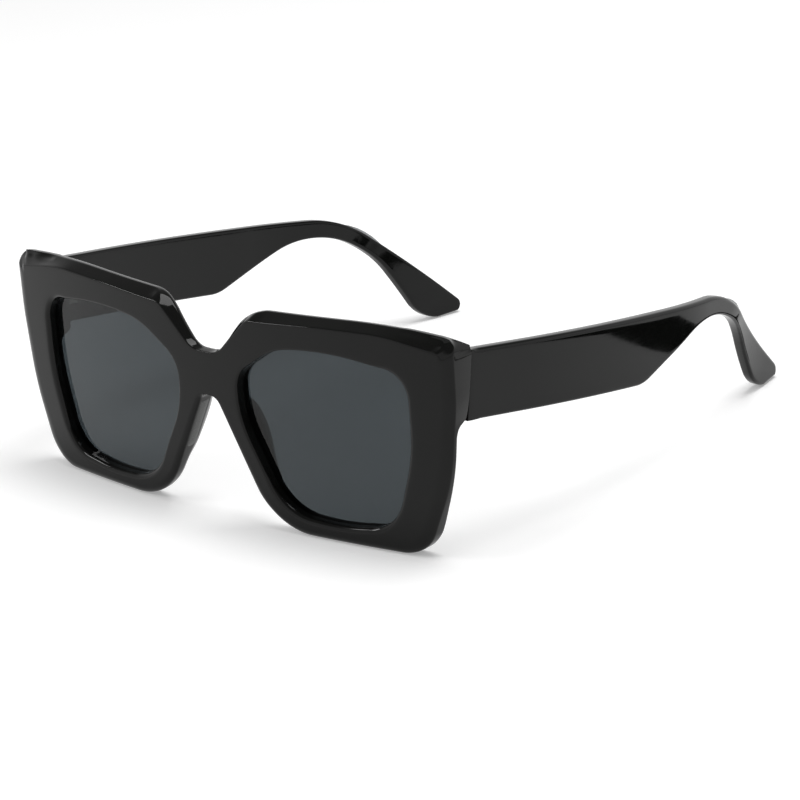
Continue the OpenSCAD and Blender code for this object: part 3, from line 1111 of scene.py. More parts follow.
    def rim(self, p: np.ndarray) -> dict[str, np.ndarray]:
        """How the opening's edge is rounded at points (x, z) of the opening.

        Args:
            p: the points in mm.

        Returns:
            The widths of the roundings by name.
        """
        x, z = p[:, 0], p[:, 1]
        soft = np.maximum(ease(x, *self.rim_x), 1 - ease(z, *self.rim_z))
        (a, more_a), (b, more_b) = self.rim_front
        back = np.full_like(x, self.rim_back)
        return {"front_a": a + more_a * soft, "front_b": b + more_b * soft, "back": back}

    def stations(self) -> tuple[list[Line], np.ndarray, np.ndarray]:
        """Pairs places on the outline, on the front face's edge and on the opening.

        Returns:
            The three lines, the paired lengths on each as rows, and the lengths on the
            opening behind the bridge.
        """
        outer = Line(self.outline(), closed=False)
        face = Line(self._half(self.face_corners), closed=False)
        inner = Line(self.opening()[::-1], closed=True, side=-1)
        hole = inner.middles[::-1]
        top, out = outer.middles, face.middles
        # Places that belong together on the outline, the face's edge and the opening
        anchors = [
            (outer.points[0], face.points[0], (10.3, 37.5)),
            (top[1], out[1], (10.6, 41.0)),
            (top[2], out[2], hole[6]),
            (top[3], (50.0, 56.1), hole[5]),
            (top[4], out[5], hole[4]),
            ((75.0, 26.0), (71.0, 26.5), hole[3]),
            (top[7], out[8], hole[2]),
            ((40.0, 0.0), (40.0, 2.0), hole[1]),
            (top[8], out[9], hole[0]),
            ((10.0, 18.0), (11.5, 18.5), (16.0, 17.0)),
            (top[9], out[10], (10.6, 27.0)),
            (outer.points[-1], face.points[-1], (10.3, 31.5)),
        ]
        index = np.arange(len(anchors), dtype=float)
        lines = [outer, face, inner]
        on = np.array([[line.nearest(a[k]) for a in anchors] for k, line in enumerate(lines)])
        on[2] = on[2, 0] + np.r_[0, np.cumsum(np.mod(np.diff(on[2]), inner.length))]
        loops = np.concatenate([inner.stops + k * inner.length for k in (-1, 0, 1)])
        loops = loops[(loops > on[2, 0]) & (loops < on[2, -1])]
        crease = [outer.nearest((self.half_width, self.bevel_z + gap)) for gap in self.crease_gaps]
        stops = (np.r_[outer.stops, crease], face.stops, loops)
        wanted = np.sort(np.concatenate([np.interp(stops[k], on[k], index) for k in range(3)]))
        paired = np.stack([np.interp(wanted, index, on[k]) for k in range(3)])
        behind = np.linspace(on[2, -1], on[2, 0] + inner.length, self.bridge_columns)
        return lines, paired[:, thinned(paired, self.least_step)], behind

    def _corner(
        self, at: np.ndarray, toward: np.ndarray, along: np.ndarray, a: np.ndarray, b: np.ndarray, n: int
    ) -> np.ndarray:
        """An elliptical rounding of a corner, tangent to both of its lines.

        Args:
            at: the corner's points.
            toward: unit vectors from the corner along the first line.
            along: unit vectors from the corner along the second line.
            a: length of the rounding on the first line.
            b: length of the rounding on the second line.
            n: how many rows make the rounding.

        Returns:
            Rows of points from the first line to the second.
        """
        angle = np.linspace(0, math.pi / 2, n + 1)[:, None, None]
        a, b = a[None, :, None], b[None, :, None]
        return at + (1 - np.sin(angle)) * a * toward + (1 - np.cos(angle)) * b * along

    def _outer_rows(self, p: np.ndarray, n: np.ndarray, f: np.ndarray, m: np.ndarray) -> np.ndarray:
        """Rows of points down the outer side, from the front face to the back face.

        Args:
            p: points of the outline.
            n: their inward normals.
            f: points of the front face's edge, one for each point of the outline.
            m: their inward normals.

        Returns:
            The rows, as points (x, y, z).
        """
        depth = self.back_y(p[:, 0], p[:, 1]) - self.front_y(p[:, 0], p[:, 1])
        cut = {name: value[:, None] for name, value in self.edge(p, depth).items()}
        inset = p + n * cut["tuck"]
        depth = (self.back_y(inset[:, 0], inset[:, 1]) - self.front_y(inset[:, 0], inset[:, 1]))[:, None]
        back_b = np.minimum(cut["back_b"], depth * self.back_most)
        zero = np.zeros_like(depth)
        edge, crest = np.c_[f, zero], np.c_[p, np.minimum(cut["crest"], depth - back_b - self.least_flat)]
        far = np.c_[inset, depth]
        run, rest = crest - edge, far - crest
        length = np.linalg.norm(run, axis=1, keepdims=True)
        most, part = self.crest_round
        bend = np.minimum(most, np.linalg.norm(rest, axis=1, keepdims=True) * part)

        def profile(t: np.ndarray) -> np.ndarray:
            """Places a row between the front face's edge and the widest place.

            Args:
                t: the share of the way for each point, 0 at the edge and 1 at the widest place.

            Returns:
                One (x, y, z) for each point.
            """
            turn = t * math.pi / 2
            arc = edge + np.c_[run[:, :2] * np.sin(turn), run[:, 2:] * (1 - np.cos(turn))]
            return (edge + run * t) * (1 - cut["round"]) + arc * cut["round"]

        def rounded(a: np.ndarray, middle: np.ndarray, b: np.ndarray, steps: int) -> np.ndarray:
            """Rounds a corner with rows on a parabola.

            Args:
                a: where the rounding starts, for each point.
                middle: the corner.
                b: where the rounding ends.
                steps: how many rows make the rounding.

            Returns:
                The rows, with both ends.
            """
            t = np.linspace(0, 1, steps)[:, None, None]
            return a * (1 - t) ** 2 + middle * 2 * t * (1 - t) + b * t**2

        start, stop = cut["front"] / length, 1 - bend / length
        first = rounded(edge + np.c_[m, zero] * cut["front"], edge, profile(start), self.edge_rows)
        shares = np.linspace(0, 1, self.wall_rows)[1:]
        body = np.stack([profile(start + (stop - start) * t) for t in shares])
        over = rounded(body[-1], profile(np.ones_like(stop)), crest + unit(rest) * bend, self.edge_rows)
        ends = cut["back_a"][:, 0], back_b[:, 0]
        back = self._corner(far, np.c_[n, zero], -unit(rest), *ends, self.heel_rows)[::-1]
        rows = np.concatenate([first, body, over[1:], back])
        lean = np.clip(rows[..., 1] - self.bevel_z, 0, None) * self.bevel_lean
        rows[..., 0] -= lean * ease(rows[..., 2], *self.bevel_y) * ease(rows[..., 0], *self.bevel_x)
        x, z = rows[..., 0], rows[..., 1]
        near_y = self.front_y(x, z) + rows[..., 2]
        far_y = self.back_y(x, z) - (depth[None, :, 0] - rows[..., 2])
        share = ease(rows[..., 2] / depth[None, :, 0], *self.side_blend)
        return np.stack([x, near_y * (1 - share) + far_y * share, z], -1)

    def _inner_rows(self, p: np.ndarray, n: np.ndarray) -> np.ndarray:
        """Rows of points through the opening's wall, from the front face to the back face.

        Args:
            p: the opening's points (x, z).
            n: their inward normals.

        Returns:
            The rows, one (x, y, z) for each point.
        """
        cut = self.rim(p)
        start, end, deep = self.groove
        zero = np.zeros(len(p))
        face = np.broadcast_to(np.array([1.0, 0.0]), p.shape)
        rear = np.broadcast_to(np.array([0.0, 1.0]), p.shape)
        at = np.stack([zero, zero], 1)
        steps_front, steps_back = self.rim_rows
        front = self._corner(at, face, rear, cut["front_a"], cut["front_b"], steps_front)
        wall = np.array([(0, start), (deep, start), (deep, end), (0, end)])
        wall = np.broadcast_to(wall[:, None], (4, len(p), 2))
        rows = np.concatenate([front, wall])
        flat = p[None] + n[None] * rows[..., :1]
        x, z = flat[..., 0], flat[..., 1]
        made = np.stack([x, self.front_y(x, z) + rows[..., 1], z], -1)
        back = self._corner(at, face, rear, cut["back"], cut["back"], steps_back)[::-1]
        flat = p[None] + n[None] * back[..., :1]
        x, z = flat[..., 0], flat[..., 1]
        rim = np.stack([x, self.back_y(x, z) - back[..., 1], z], -1)
        return np.concatenate([made, rim])

    def _face(self, a: np.ndarray, b: np.ndarray, height: Callable, rows: int) -> np.ndarray:
        """Rows strictly between two rows of points, laid on a face.

        Args:
            a: the first row of points.
            b: the last row of points.
            height: the face's depth at (x, z).
            rows: how many rows to lay.

        Returns:
            The rows, without the two given ones.
        """
        share = np.linspace(0, 1, rows + 2)[1:-1, None, None]
        flat = a[None] * (1 - share) + b[None] * share
        y = height(flat[..., 0], flat[..., 2])
        return np.stack([flat[..., 0], y, flat[..., 2]], -1)

    def half(self) -> Shell:
        """The left half of the front.

        Returns:
            The shell in mm, open on the middle plane.
        """
        lines, paired, behind = self.stations()
        (p, n), (f, g), (q, m) = (line.at(s) for line, s in zip(lines, paired))
        n[0] = g[0] = (0, -1)
        n[-1] = g[-1] = (0, 1)
        outside = self._outer_rows(p, n, f, g)
        inside = self._inner_rows(q, m)
        shell = Shell()
        front = self._face(outside[0], inside[0], self.front_y, self.face_rows)
        back = self._face(inside[-1], outside[-1], self.back_y, self.back_rows)
        shell.grid(np.concatenate([outside[:1], front, inside, back, outside[:0:-1]]), wrap_u=True)
        q, m = lines[2].at(behind)
        inside = self._inner_rows(q, m)
        share = np.linspace(0, 1, len(behind))[:, None]
        near = outside[0, -1] * (1 - share) + outside[0, 0] * share
        far = outside[-1, -1] * (1 - share) + outside[-1, 0] * share
        near[:, 1] = self.front_y(near[:, 0], near[:, 2])
        far[:, 1] = self.back_y(far[:, 0], far[:, 2])
        front = self._face(near, inside[0], self.front_y, self.face_rows)
        back = self._face(inside[-1], far, self.back_y, self.back_rows)
        shell.grid(np.concatenate([near[None], front, inside, back, far[None]]))
        return shell

    def build(self) -> bpy.types.Object:
        """Builds and dresses the front.

        Returns:
            The front's object.
        """
        shell = self.half()
        shell.join(shell.mirrored())
        made = shell.build("front_acetate", weld=1e-3)
        return dress(made, FRONT_ACETATE, "front_plastic", "front", "front_frame")

    def lens(self, side: Side) -> bpy.types.Object:
        """Builds one lens, its edge bevelled where it sits in the groove.

        Args:
            side: the wearer's side.

        Returns:
            The lens's object.
        """
        start, end, deep = self.groove
        line = Line(self.opening(), closed=True, side=1, turn=5.0, reach=1.4)
        p, n = line.at(line.round_stops())
        shell = Shell()
        bevel, shares = self.lens_bevel, self.lens_shares
        near, far, grow = start + self.lens_gap, end - self.lens_gap, deep - self.lens_gap
        centre = p.mean(0)
        rings: list[np.ndarray] = []

        def lay(flat: np.ndarray, depth: float) -> np.ndarray:
            """Lays a flat ring at a depth behind the front face.

            Args:
                flat: the ring's points (x, z).
                depth: the depth in mm.

            Returns:
                One (x, y, z) for each point.
            """
            x, z = flat[:, 0], flat[:, 1]
            return np.stack([x, self.front_y(x, z) + depth, z], 1)

        rim = p + n * (grow - bevel)
        for share in shares:
            rings.append(lay(centre + (rim - centre) * share, near))
        rings.append(lay(rim, near))
        rings.append(lay(p + n * grow, near + bevel))
        rings.append(lay(p + n * grow, far - bevel))
        rings.append(lay(rim, far))
        for share in shares[::-1]:
            rings.append(lay(centre + (rim - centre) * share, far))
        shell.tube(np.stack(rings))
        made = shell.on(side).build(f"smoke_lens_{side.word}")
        dress(made, SMOKE_LENS, "lens_smoke", "front", f"lens_{side.word}")
        made.data.materials.append(bpy.data.materials[FRONT_ACETATE.name])
        for face in made.data.polygons:
            face.material_index = int(abs(face.normal.y) < self.lens_edge)
        return made

    def pad(self, side: Side) -> bpy.types.Object:
        """Builds one nose pad, a smooth ridge behind the nose edge of the rim.

        Args:
            side: the wearer's side.

        Returns:
            The pad's object.
        """
        nose_top = (0.032 * self.half_width, 0.559 * self.height)
        nose_foot = (0.253 * self.half_width, 0.0)
        t = 0.5 - 0.5 * np.cos(np.linspace(0.0, 1.0, self.pad_rows) * math.pi)
        z = self.pad_top + (self.pad_foot - self.pad_top) * t
        edge = nose_top[0] + (nose_foot[0] - nose_top[0]) * (nose_top[1] - z) / nose_top[1]
        x = edge + self.pad_inset
        swell = smoothed(np.interp(t, *np.array(self.pad_swell).T))
        swell[0] = swell[-1] = self.pad_least
        section = np.array(self.pad_section)
        fine = np.linspace(0, len(section) - 1, self.pad_columns)
        flat, rise, lift = (np.interp(fine, np.arange(len(section)), column) for column in section.T)
        for _ in range(3):
            flat, rise, lift = smoothed(flat), smoothed(rise), smoothed(lift)
        sunk = self.pad_sink * np.maximum(1 - ease(t, 0.0, 0.06), 1 - ease(1 - t, 0.0, 0.38))
        tilt = math.atan2(nose_foot[0] - nose_top[0], nose_top[1])
        across = flat[None, :] * (1 - 0.25 * (1 - swell[:, None])) + sunk[:, None] * (1 - lift[None, :])
        px = (x - self.pad_inset)[:, None] + across * math.cos(tilt)
        pz = z[:, None] + across * math.sin(tilt)
        py = self.front_y(x, z)[:, None] + rise + lift * self.pad_reach * swell[:, None]
        shell = Shell()
        shell.tube(np.stack([px, py, pz], -1))
        made = shell.on(side).build(f"nose_pad_acetate_{side.word}")
        # The pad's colours are painted paler than the front's, as painted sheen
        return dress(made, PAD_ACETATE_PAINTED_SHEEN, "pad_plastic", "front", f"nose_pad_{side.word}")


# The temples


@dataclass
class Temple:
    """A wide arm with a step, an arch over the ear and a flared tip."""

    butt_y: float = 15.2
    butt_z: float = 43.55
    butt_gap: float = 0.15
    height: float = 17.7
    thick: float = 3.3
    slope: float = math.tan(math.radians(8.9))
    top_z: float = 52.4
    middle_x: float = 73.3
    rows: int = 15
    splay: float = 4.2
    arm_turn: float = 4.0
    ear_turn: float = 13.7
    tip_turn: float = 11.0
    tip_ease: float = -1.5
    bend_tilt: float = 55.0
    bow_y: float = 58.8
    turn_y: float = 101.5
    arch_y: float = 116.0
    core_depth: float = 2.9
    chamfer: float = 1.1
    flare: float = 43.5
    flare_y: float = 154.4
    flare_z: float = 6.5
    ear_radius: float = 36.0
    tip_radius: float = 2.4
    heel_radius: float = 12.0
    least_step: float = 0.12
    before_y: float = 20
    bow_radius: float = 350.0
    turn_radius: float = 115.0
    tip_bends: Sequence[Sequence[float]] = ((12.2, 42.0), (30.3, 125.0))
    step_y: float = 78.8
    step_radius: float = 12.6
    step_rise: float = 16.2
    arch_radius: float = 29.7
    heel_y: float = 144.8
    heel_rise: float = 60.7
    foot_y: float = 152.0
    butt_chamfer: float = 0.18
    low_chamfer: float = 0.75
    tip_chamfer: float = 0.95
    tip_span: tuple[float, float] = (118, 140)
    butt_span: tuple[float, float] = (15.5, 19.0)
    inner_chamfer: float = 0.6

    def top_at(self, y: float) -> float:
        """Height of the top edge.

        Args:
            y: the depth in mm.

        Returns:
            The height in mm.
        """
        return self.top_z - (y - self.butt_at(self.top_z)) * self.slope

    def low_at(self, y: float) -> float:
        """Height of the arm's lower edge.

        Args:
            y: the depth in mm.

        Returns:
            The height in mm.
        """
        return self.top_at(y) - self.height / math.cos(math.atan(self.slope))

    def butt_at(self, z: float) -> float:
        """Depth of the plane where the temple meets the front.

        Args:
            z: the height in mm.

        Returns:
            The depth in mm.
        """
        return self.butt_y + (z - self.butt_z) * self.slope

    def __post_init__(self) -> None:
        """Lays out the lines of the arm and of the ear piece."""
        rad = math.radians
        bow_x = self.middle_x + (self.bow_y - self.butt_y) * math.tan(rad(self.splay))
        turn_x = bow_x - (self.turn_y - self.bow_y) * math.tan(rad(self.arm_turn))
        ear = math.tan(rad(self.ear_turn))
        arm = [
            (self.middle_x - self.before_y * math.tan(rad(self.splay)), self.butt_y - self.before_y, 0),
            (bow_x, self.bow_y, self.bow_radius),
            (turn_x, self.turn_y, self.turn_radius),
            (turn_x - (TEMPLE_END - self.turn_y) * ear, TEMPLE_END, 0),
        ]
        (first, first_r), (second, second_r) = self.tip_bends
        ease_x = -(second - first) * math.tan(rad(self.tip_turn))
        run = self.height * 4
        tip = [
            (0, 0, 0),
            (0, first, first_r),
            (ease_x, second, second_r),
            (ease_x - (run - second) * math.tan(rad(self.tip_ease)), run, 0),
        ]
        self.arm = Line(arm, closed=False)
        self.tip = Line(tip, closed=False)
        bend_x = turn_x - (self.arch_y - self.turn_y) * ear
        self.bend = (bend_x, self.arch_y, self.top_at(self.arch_y) - self.core_depth)

    def wall_x(self, y: np.ndarray, z: np.ndarray) -> np.ndarray:
        """Distance of the temple's middle sheet from the centre line.

        Args:
            y: depths in mm.
            z: heights in mm.

        Returns:
            Distances in mm.
        """
        y, z = np.asarray(y, float), np.asarray(z, float)
        x = np.interp(y, self.arm.points[:, 1], self.arm.points[:, 0])
        turn, tilt = math.radians(self.ear_turn), math.radians(self.bend_tilt)
        c, s = math.cos(turn), math.sin(turn)
        ct, st = math.cos(tilt), math.sin(tilt)
        dy, dz = y - self.bend[1], z - self.bend[2]
        path_y, path_x = self.tip.points[:, 1], self.tip.points[:, 0]
        grade = np.gradient(path_x, path_y)
        bent = x.copy()
        for _ in range(6):
            dx = bent - self.bend[0]
            along = ct * (-s * dx + c * dy) - st * dz
            miss = c * dx + s * dy - np.interp(along, path_y, path_x)
            bent = bent - miss / (c + np.interp(along, path_y, grade) * s * ct)
        dx = bent - self.bend[0]
        along = ct * (-s * dx + c * dy) - st * dz
        return np.where(along > 0, bent, x)

    def place(self, y: np.ndarray, z: np.ndarray, h: np.ndarray) -> np.ndarray:
        """Points that show at (y, z) from the side, h out from the middle sheet.

        Args:
            y: depths in mm.
            z: heights in mm.
            h: distances from the middle sheet in mm.

        Returns:
            One (x, y, z) for each point.
        """
        step = 0.05
        y0, z0 = np.array(y, float), np.array(z, float)
        for _ in range(4):
            gy = (self.wall_x(y0 + step, z0) - self.wall_x(y0 - step, z0)) / (2 * step)
            gz = (self.wall_x(y0, z0 + step) - self.wall_x(y0, z0 - step)) / (2 * step)
            size = np.sqrt(1 + gy**2 + gz**2)
            y0, z0 = y + h * gy / size, z + h * gz / size
        return np.stack([self.wall_x(y0, z0) + h / size, y, z], -1)

    def chains(self) -> tuple[np.ndarray, np.ndarray, np.ndarray, np.ndarray]:
        """The top and the lower edge in the side view, with matching stations.

        Returns:
            Points and inward normals of the top edge, then of the lower edge.
        """

        def tan(a: float) -> float:
            """The slope that an angle gives.

            Args:
                a: the angle in degrees.

            Returns:
                The slope.
            """
            return math.tan(math.radians(a))

        def meet(
            a: tuple[float, float], slope_a: float, b: tuple[float, float], slope_b: float
        ) -> tuple[float, float]:
            """Finds where two lines meet.

            Args:
                a: a point (y, z) of the first line.
                slope_a: slope of the first line.
                b: a point (y, z) of the second line.
                slope_b: slope of the second line.

            Returns:
                The point (y, z).
            """
            y = (b[1] - a[1] + slope_a * a[0] - slope_b * b[0]) / (slope_a - slope_b)
            return y, a[1] + slope_a * (y - a[0])

        tip_y = self.flare_y + self.flare_z / tan(self.flare)
        step = (self.step_y, self.low_at(self.step_y))
        ear = meet((self.step_y, self.top_at(self.step_y)), -self.slope, (tip_y, 0), -tan(self.flare))
        arch = meet(step, tan(self.step_rise), (self.heel_y, 0), -tan(self.heel_rise))
        foot_z = self.low_at(self.butt_y)
        high_y = self.butt_at(self.top_z) + self.butt_gap
        low_y = self.butt_at(foot_z) + self.butt_gap
        middle = (self.foot_y, 0.0)
        top = Line(
            [
                (high_y, self.top_at(high_y), 0),
                (*ear, self.ear_radius),
                (tip_y, 0, self.tip_radius),
                (*middle, 0),
            ],
            closed=False,
            turn=5.0,
            reach=1.5,
        )
        under = Line(
            [
                (low_y, self.low_at(low_y), 0),
                (*step, self.step_radius),
                (*arch, self.arch_radius),
                (self.heel_y, 0, self.heel_radius),
                (*middle, 0),
            ],
            closed=False,
            side=-1,
            turn=5.0,
            reach=1.5,
        )
        tip_end = top.nearest((157.0, 0.0))
        heel_end = under.nearest((149.6, 0.0))
        pairs = [
            (0.0, 0.0),
            (top.nearest((70, self.top_at(70))), under.nearest((70, self.low_at(70)))),
            (top.nearest((88, self.top_at(88))), under.nearest((84, 24.8))),
            (top.nearest((108, self.top_at(108))), under.nearest((108, 33.2))),
            (top.nearest(top.middles[1]), under.nearest(under.middles[2])),
            (top.nearest((141, 19.5)), under.nearest((136.0, 15.4))),
            (tip_end, heel_end),
        ]
        on_top, on_low = np.array(pairs).T
        index = np.arange(len(pairs), dtype=float)
        wanted = np.concatenate(
            [
                np.interp(top.stops[top.stops <= tip_end], on_top, index),
                np.interp(under.stops[under.stops <= heel_end], on_low, index),
                index[-1:],
            ]
        )
        wanted = np.sort(wanted)
        paired = np.stack([np.interp(wanted, index, on_top), np.interp(wanted, index, on_low)])
        paired = paired[:, thinned(paired, self.least_step)]
        return *top.at(paired[0]), *under.at(paired[1])

    def shell(self) -> Shell:
        """The left temple.

        Returns:
            The shell in mm.
        """
        p, n, q, m = self.chains()
        share = np.linspace(0, 1, self.rows)[:, None]
        count = len(p)
        butt = np.array([1.0, -self.slope]) / math.hypot(1, self.slope)
        rise = np.array([0.0, 1.0])

        def corner(a: np.ndarray, b: np.ndarray) -> np.ndarray:
            """The normal at a corner, long enough to keep the distance from both edges.

            Args:
                a: the first edge's unit normal.
                b: the second edge's unit normal.

            Returns:
                The normal.
            """
            return (a + b) / (1 + a @ b)

        butts = [corner(m[0], butt), *[butt] * (self.rows - 2), corner(n[0], butt)]
        feet = range(1, self.rows - 1)
        loop_p = np.array(
            [
                *(q[0] * (1 - share[k]) + p[0] * share[k] for k in range(self.rows)),
                *p[1:],
                *(p[-1] * (1 - share[k]) + q[-1] * share[k] for k in feet),
                *q[:0:-1],
            ]
        )
        loop_n = np.array([*butts, *n[1:], *[rise] * len(feet), *m[:0:-1]])
        y = loop_p[:, 0]
        butt_edge = np.arange(len(y)) < self.rows
        top_edge = (np.arange(len(y)) >= self.rows) & (np.arange(len(y)) < self.rows + count - 1)
        fade, late = ease(y, *self.butt_span), ease(y, *self.tip_span)
        chamfer = np.where(top_edge, self.chamfer, self.low_chamfer) * (1 - late) + self.tip_chamfer * late
        a = np.where(butt_edge, self.butt_chamfer, self.butt_chamfer + (chamfer - self.butt_chamfer) * fade)
        inner = np.where(butt_edge, self.butt_chamfer, self.butt_chamfer + self.inner_chamfer * fade)
        angle = np.linspace(0, math.pi / 2, 8)[:, None]
        half = self.thick / 2
        d_out = (1 - np.sin(angle)) * a
        h_out = half - (1 - np.cos(angle)) * a
        d_in = ((1 - np.sin(angle)) * inner)[::-1]
        h_in = (-half + (1 - np.cos(angle)) * inner)[::-1]
        d, h = np.concatenate([d_out, d_in]), np.concatenate([h_out, h_in])
        flat = loop_p[None] + loop_n[None] * d[..., None]
        ring = self.place(flat[..., 0], flat[..., 1], h)
        made = Shell()
        made.grid(ring, wrap_v=True)
        for row, height in ((0, half), (-1, -half)):
            edge = flat[row]
            up = edge[self.rows - 1 : self.rows - 1 + count]
            down = np.concatenate([edge[:1], edge[: len(edge) - count : -1]])
            grid = np.empty((count, self.rows, 2))
            for k in range(self.rows):
                grid[:, k] = up * (1 - share[k]) + down * share[k]
            grid[0] = edge[: self.rows][::-1]
            grid[-1] = edge[self.rows + count - 2 :][: self.rows]
            face = self.place(grid[..., 0], grid[..., 1], np.full(grid.shape[:2], height))
            made.grid(face)
        return made

    def build(self, side: Side) -> bpy.types.Object:
        """Builds and dresses one temple.

        Args:
            side: the wearer's side.

        Returns:
            The temple's object.
        """
        made = self.shell().on(side).build(f"temple_acetate_{side.word}", weld=2e-3)
        return dress(made, TEMPLE_ACETATE, "temple_plastic", f"{side.word}_temple", f"temple_{side.word}")


# The hinges


@dataclass
class Hinge:
    """A five-barrel hinge of two leaves, its screw, and the small screws in its leaves."""

    side: Side
    axis_x: float = 70.03
    butt_y: float = 15.2
    butt_z: float = 43.55
    slope: float = 8.9
    splay: float = 4.2
    set_back: float = 1.62
    barrel_r: float = 1.5
    barrel_h: float = 1.4
    gap: float = 0.08
    leaf: float = 0.9
    inlay: float = 0.35
    front_leaf: float = 5.6
    temple_leaf: float = 9.4
    pin_r: float = 0.7
    pin_fit: float = 0.04
    web_fit: float = 0.05
    head_r: float = 1.2
    head_h: float = 0.6
    bevel: float = 0.1
    segments: int = 48
    stack: float = field(init=False)

    def __post_init__(self) -> None:
        """Adds up the five barrels and the gaps between them."""
        self.stack = 5 * (self.barrel_h + self.gap) - self.gap

    def matrix(self) -> Matrix:
        """Puts the hinge's own frame in its place on the left.

        Returns:
            The matrix, with lengths in mm.
        """
        return (
            Matrix.Translation((self.axis_x, self.butt_y, self.butt_z))
            @ Matrix.Rotation(math.radians(-self.slope), 4, "X")
            @ Matrix.Translation((0, self.set_back, 0))
        )

    def low(self, i: int) -> float:
        """Height of the underside of a barrel.

        Args:
            i: the barrel's number, from 0 at the bottom.

        Returns:
            The height in mm.
        """
        return -self.stack / 2 + i * (self.barrel_h + self.gap)

    def barrel(self, shell: Shell, i: int) -> None:
        """Adds a barrel with its bore and eased rims.

        Args:
            shell: the shell to add to.
            i: the barrel's number, from 0 at the bottom.
        """
        r, b, low, high = self.barrel_r, self.bevel, self.low(i), self.low(i) + self.barrel_h
        bore = self.pin_r + self.pin_fit
        shell.lathe(
            [
                (bore, low),
                (r - b, low),
                (r - b * 0.3, low + b * 0.3),
                (r, low + b),
                (r, high - b),
                (r - b * 0.3, high - b * 0.3),
                (r - b, high),
                (bore, high),
            ],
            self.segments,
        )

    def head(self, shell: Shell, r: float, top: float, deep: float, slot: float) -> None:
        """Adds a slotted screw head as two halves over a disc.

        Args:
            shell: the shell to add to.
            r: radius of the head.
            top: height of its top.
            deep: depth of the slot.
            slot: width of the slot.
        """
        floor = top - deep
        disc = np.linspace(0, 2 * math.pi, self.segments, endpoint=False)
        shell.prism(np.stack([np.cos(disc) * r, np.sin(disc) * r], 1), floor - deep, floor, 0.02)
        start = math.asin(slot / r)
        for turn in (0.0, math.pi):
            arc = np.linspace(start, math.pi - start, self.segments // 2) + turn
            half = np.stack([np.cos(arc) * r, np.sin(arc) * r], 1)
            shell.prism(half, floor - 0.01, top, min(0.06, deep / 3))

    def place(
        self, shell: Shell, name: str, finish: Metal, slot: str, body: str, cad: str
    ) -> bpy.types.Object:
        """Moves a shell into place on its side, builds and dresses it.

        Args:
            shell: the shell in the hinge's own frame.
            name: the piece's name without its side.
            finish: the metal.
            slot: the material slot.
            body: the body that it moves with.
            cad: the CAD node that it takes the place of, without its side.

        Returns:
            The piece's object.
        """
        made = shell.moved(self.matrix()).on(self.side).build(f"{name}_{self.side.word}", sharp=30.0)
        return dress(made, finish, slot, body, f"{cad}_{self.side.word}")

    def rounded_leaf(self, a: Sequence[float], b: Sequence[float], r: float) -> np.ndarray:
        """A leaf's outline with rounded corners, from one corner to the other.

        Args:
            a: the lowest corner.
            b: the highest corner.
            r: radius of the corners.

        Returns:
            The outline's points.
        """
        (x0, y0), (x1, y1) = a, b
        line = Line([(x0, y0, r), (x1, y0, r), (x1, y1, r), (x0, y1, r)], True, turn=12, reach=4)
        return line.at(line.round_stops())[0]

    def build(self) -> None:
        """Builds the hinge's five pieces on this side."""
        temple_body = f"{self.side.word}_temple"
        high = self.stack / 2
        back = -self.set_back - self.inlay
        shell = Shell()
        plate = Shell()
        plate.prism(self.rounded_leaf((-self.front_leaf, -high), (0, high), 0.5), 0, self.leaf, self.bevel)
        plate.moved(Matrix.Translation((0, back + self.leaf, 0)) @ Matrix.Rotation(math.pi / 2, 4, "X"))
        shell.join(plate)
        for i in (0, 2, 4):
            self.barrel(shell, i)
            near = (-self.barrel_r, back + 0.2, self.low(i))
            top = self.low(i) + self.barrel_h
            shell.box(near, (-self.pin_r - self.web_fit, 0, top), self.bevel)
            shell.box(near, (0, -self.pin_r - self.web_fit, top), self.bevel)
        self.place(shell, "front_hinge_nickel", NICKEL_SILVER, "hinge_metal", "front", "front_hinge")

        shell = Shell()
        face = self.set_back + self.inlay
        plate = Shell()
        plate.prism(self.rounded_leaf((0, -high), (self.temple_leaf, high), 0.5), 0, self.leaf, self.bevel)
        plate.moved(
            Matrix.Rotation(math.radians(-self.splay), 4, "Z")
            @ Matrix(((0, 0, 1, face - self.leaf), (1, 0, 0, 0), (0, 1, 0, 0), (0, 0, 0, 1)))
        )
        shell.join(plate)
        for i in (1, 3):
            self.barrel(shell, i)
            web = Shell()
            low = self.low(i)
            far = (face - 0.1, self.barrel_r, low + self.barrel_h)
            web.box((self.pin_r + self.web_fit, 0, low), far, self.bevel)
            web.box((0, self.pin_r + self.web_fit, low), far, self.bevel)
            shell.join(web.moved(Matrix.Rotation(math.radians(-self.splay), 4, "Z")))
        self.place(shell, "temple_hinge_nickel", NICKEL_SILVER, "hinge_metal", temple_body, "temple_hinge")

        shell = Shell()
        r, b = self.pin_r, 0.08
        shell.lathe(
            [
                (0.01, -high),
                (r - b, -high),
                (r, -high + b),
                (r, high),
                (self.head_r - b, high),
                (self.head_r, high + b),
                (self.head_r, high + self.head_h / 2),
                (0.01, high + self.head_h / 2),
            ],
            self.segments,
        )
        self.head(shell, self.head_r, high + self.head_h, self.head_h / 2, self.pin_r / 4)
        self.place(shell, "hinge_screw_steel", TURNED_STEEL, "screw_steel", "front", "hinge_screw")

        shell = Shell()
        for z in (-self.stack / 3, self.stack / 3):
            spot = Matrix.Translation((-self.front_leaf * 0.68, back + self.leaf, z))
            shell.join(self.leaf_screw().moved(spot @ Matrix.Rotation(-math.pi / 2, 4, "X")))
        name = "front_leaf_screws"
        self.place(shell, f"{name}_steel", TURNED_STEEL, "screw_steel", "front", name)

        shell = Shell()
        for share in (0.5, 0.84):
            spot = Matrix.Rotation(math.radians(-self.splay), 4, "Z") @ Matrix.Translation(
                (face - self.leaf, self.temple_leaf * share, 0)
            )
            shell.join(self.leaf_screw().moved(spot @ Matrix.Rotation(-math.pi / 2, 4, "Y")))
        name = "temple_leaf_screws"
        self.place(shell, f"{name}_steel", TURNED_STEEL, "screw_steel", temple_body, name)

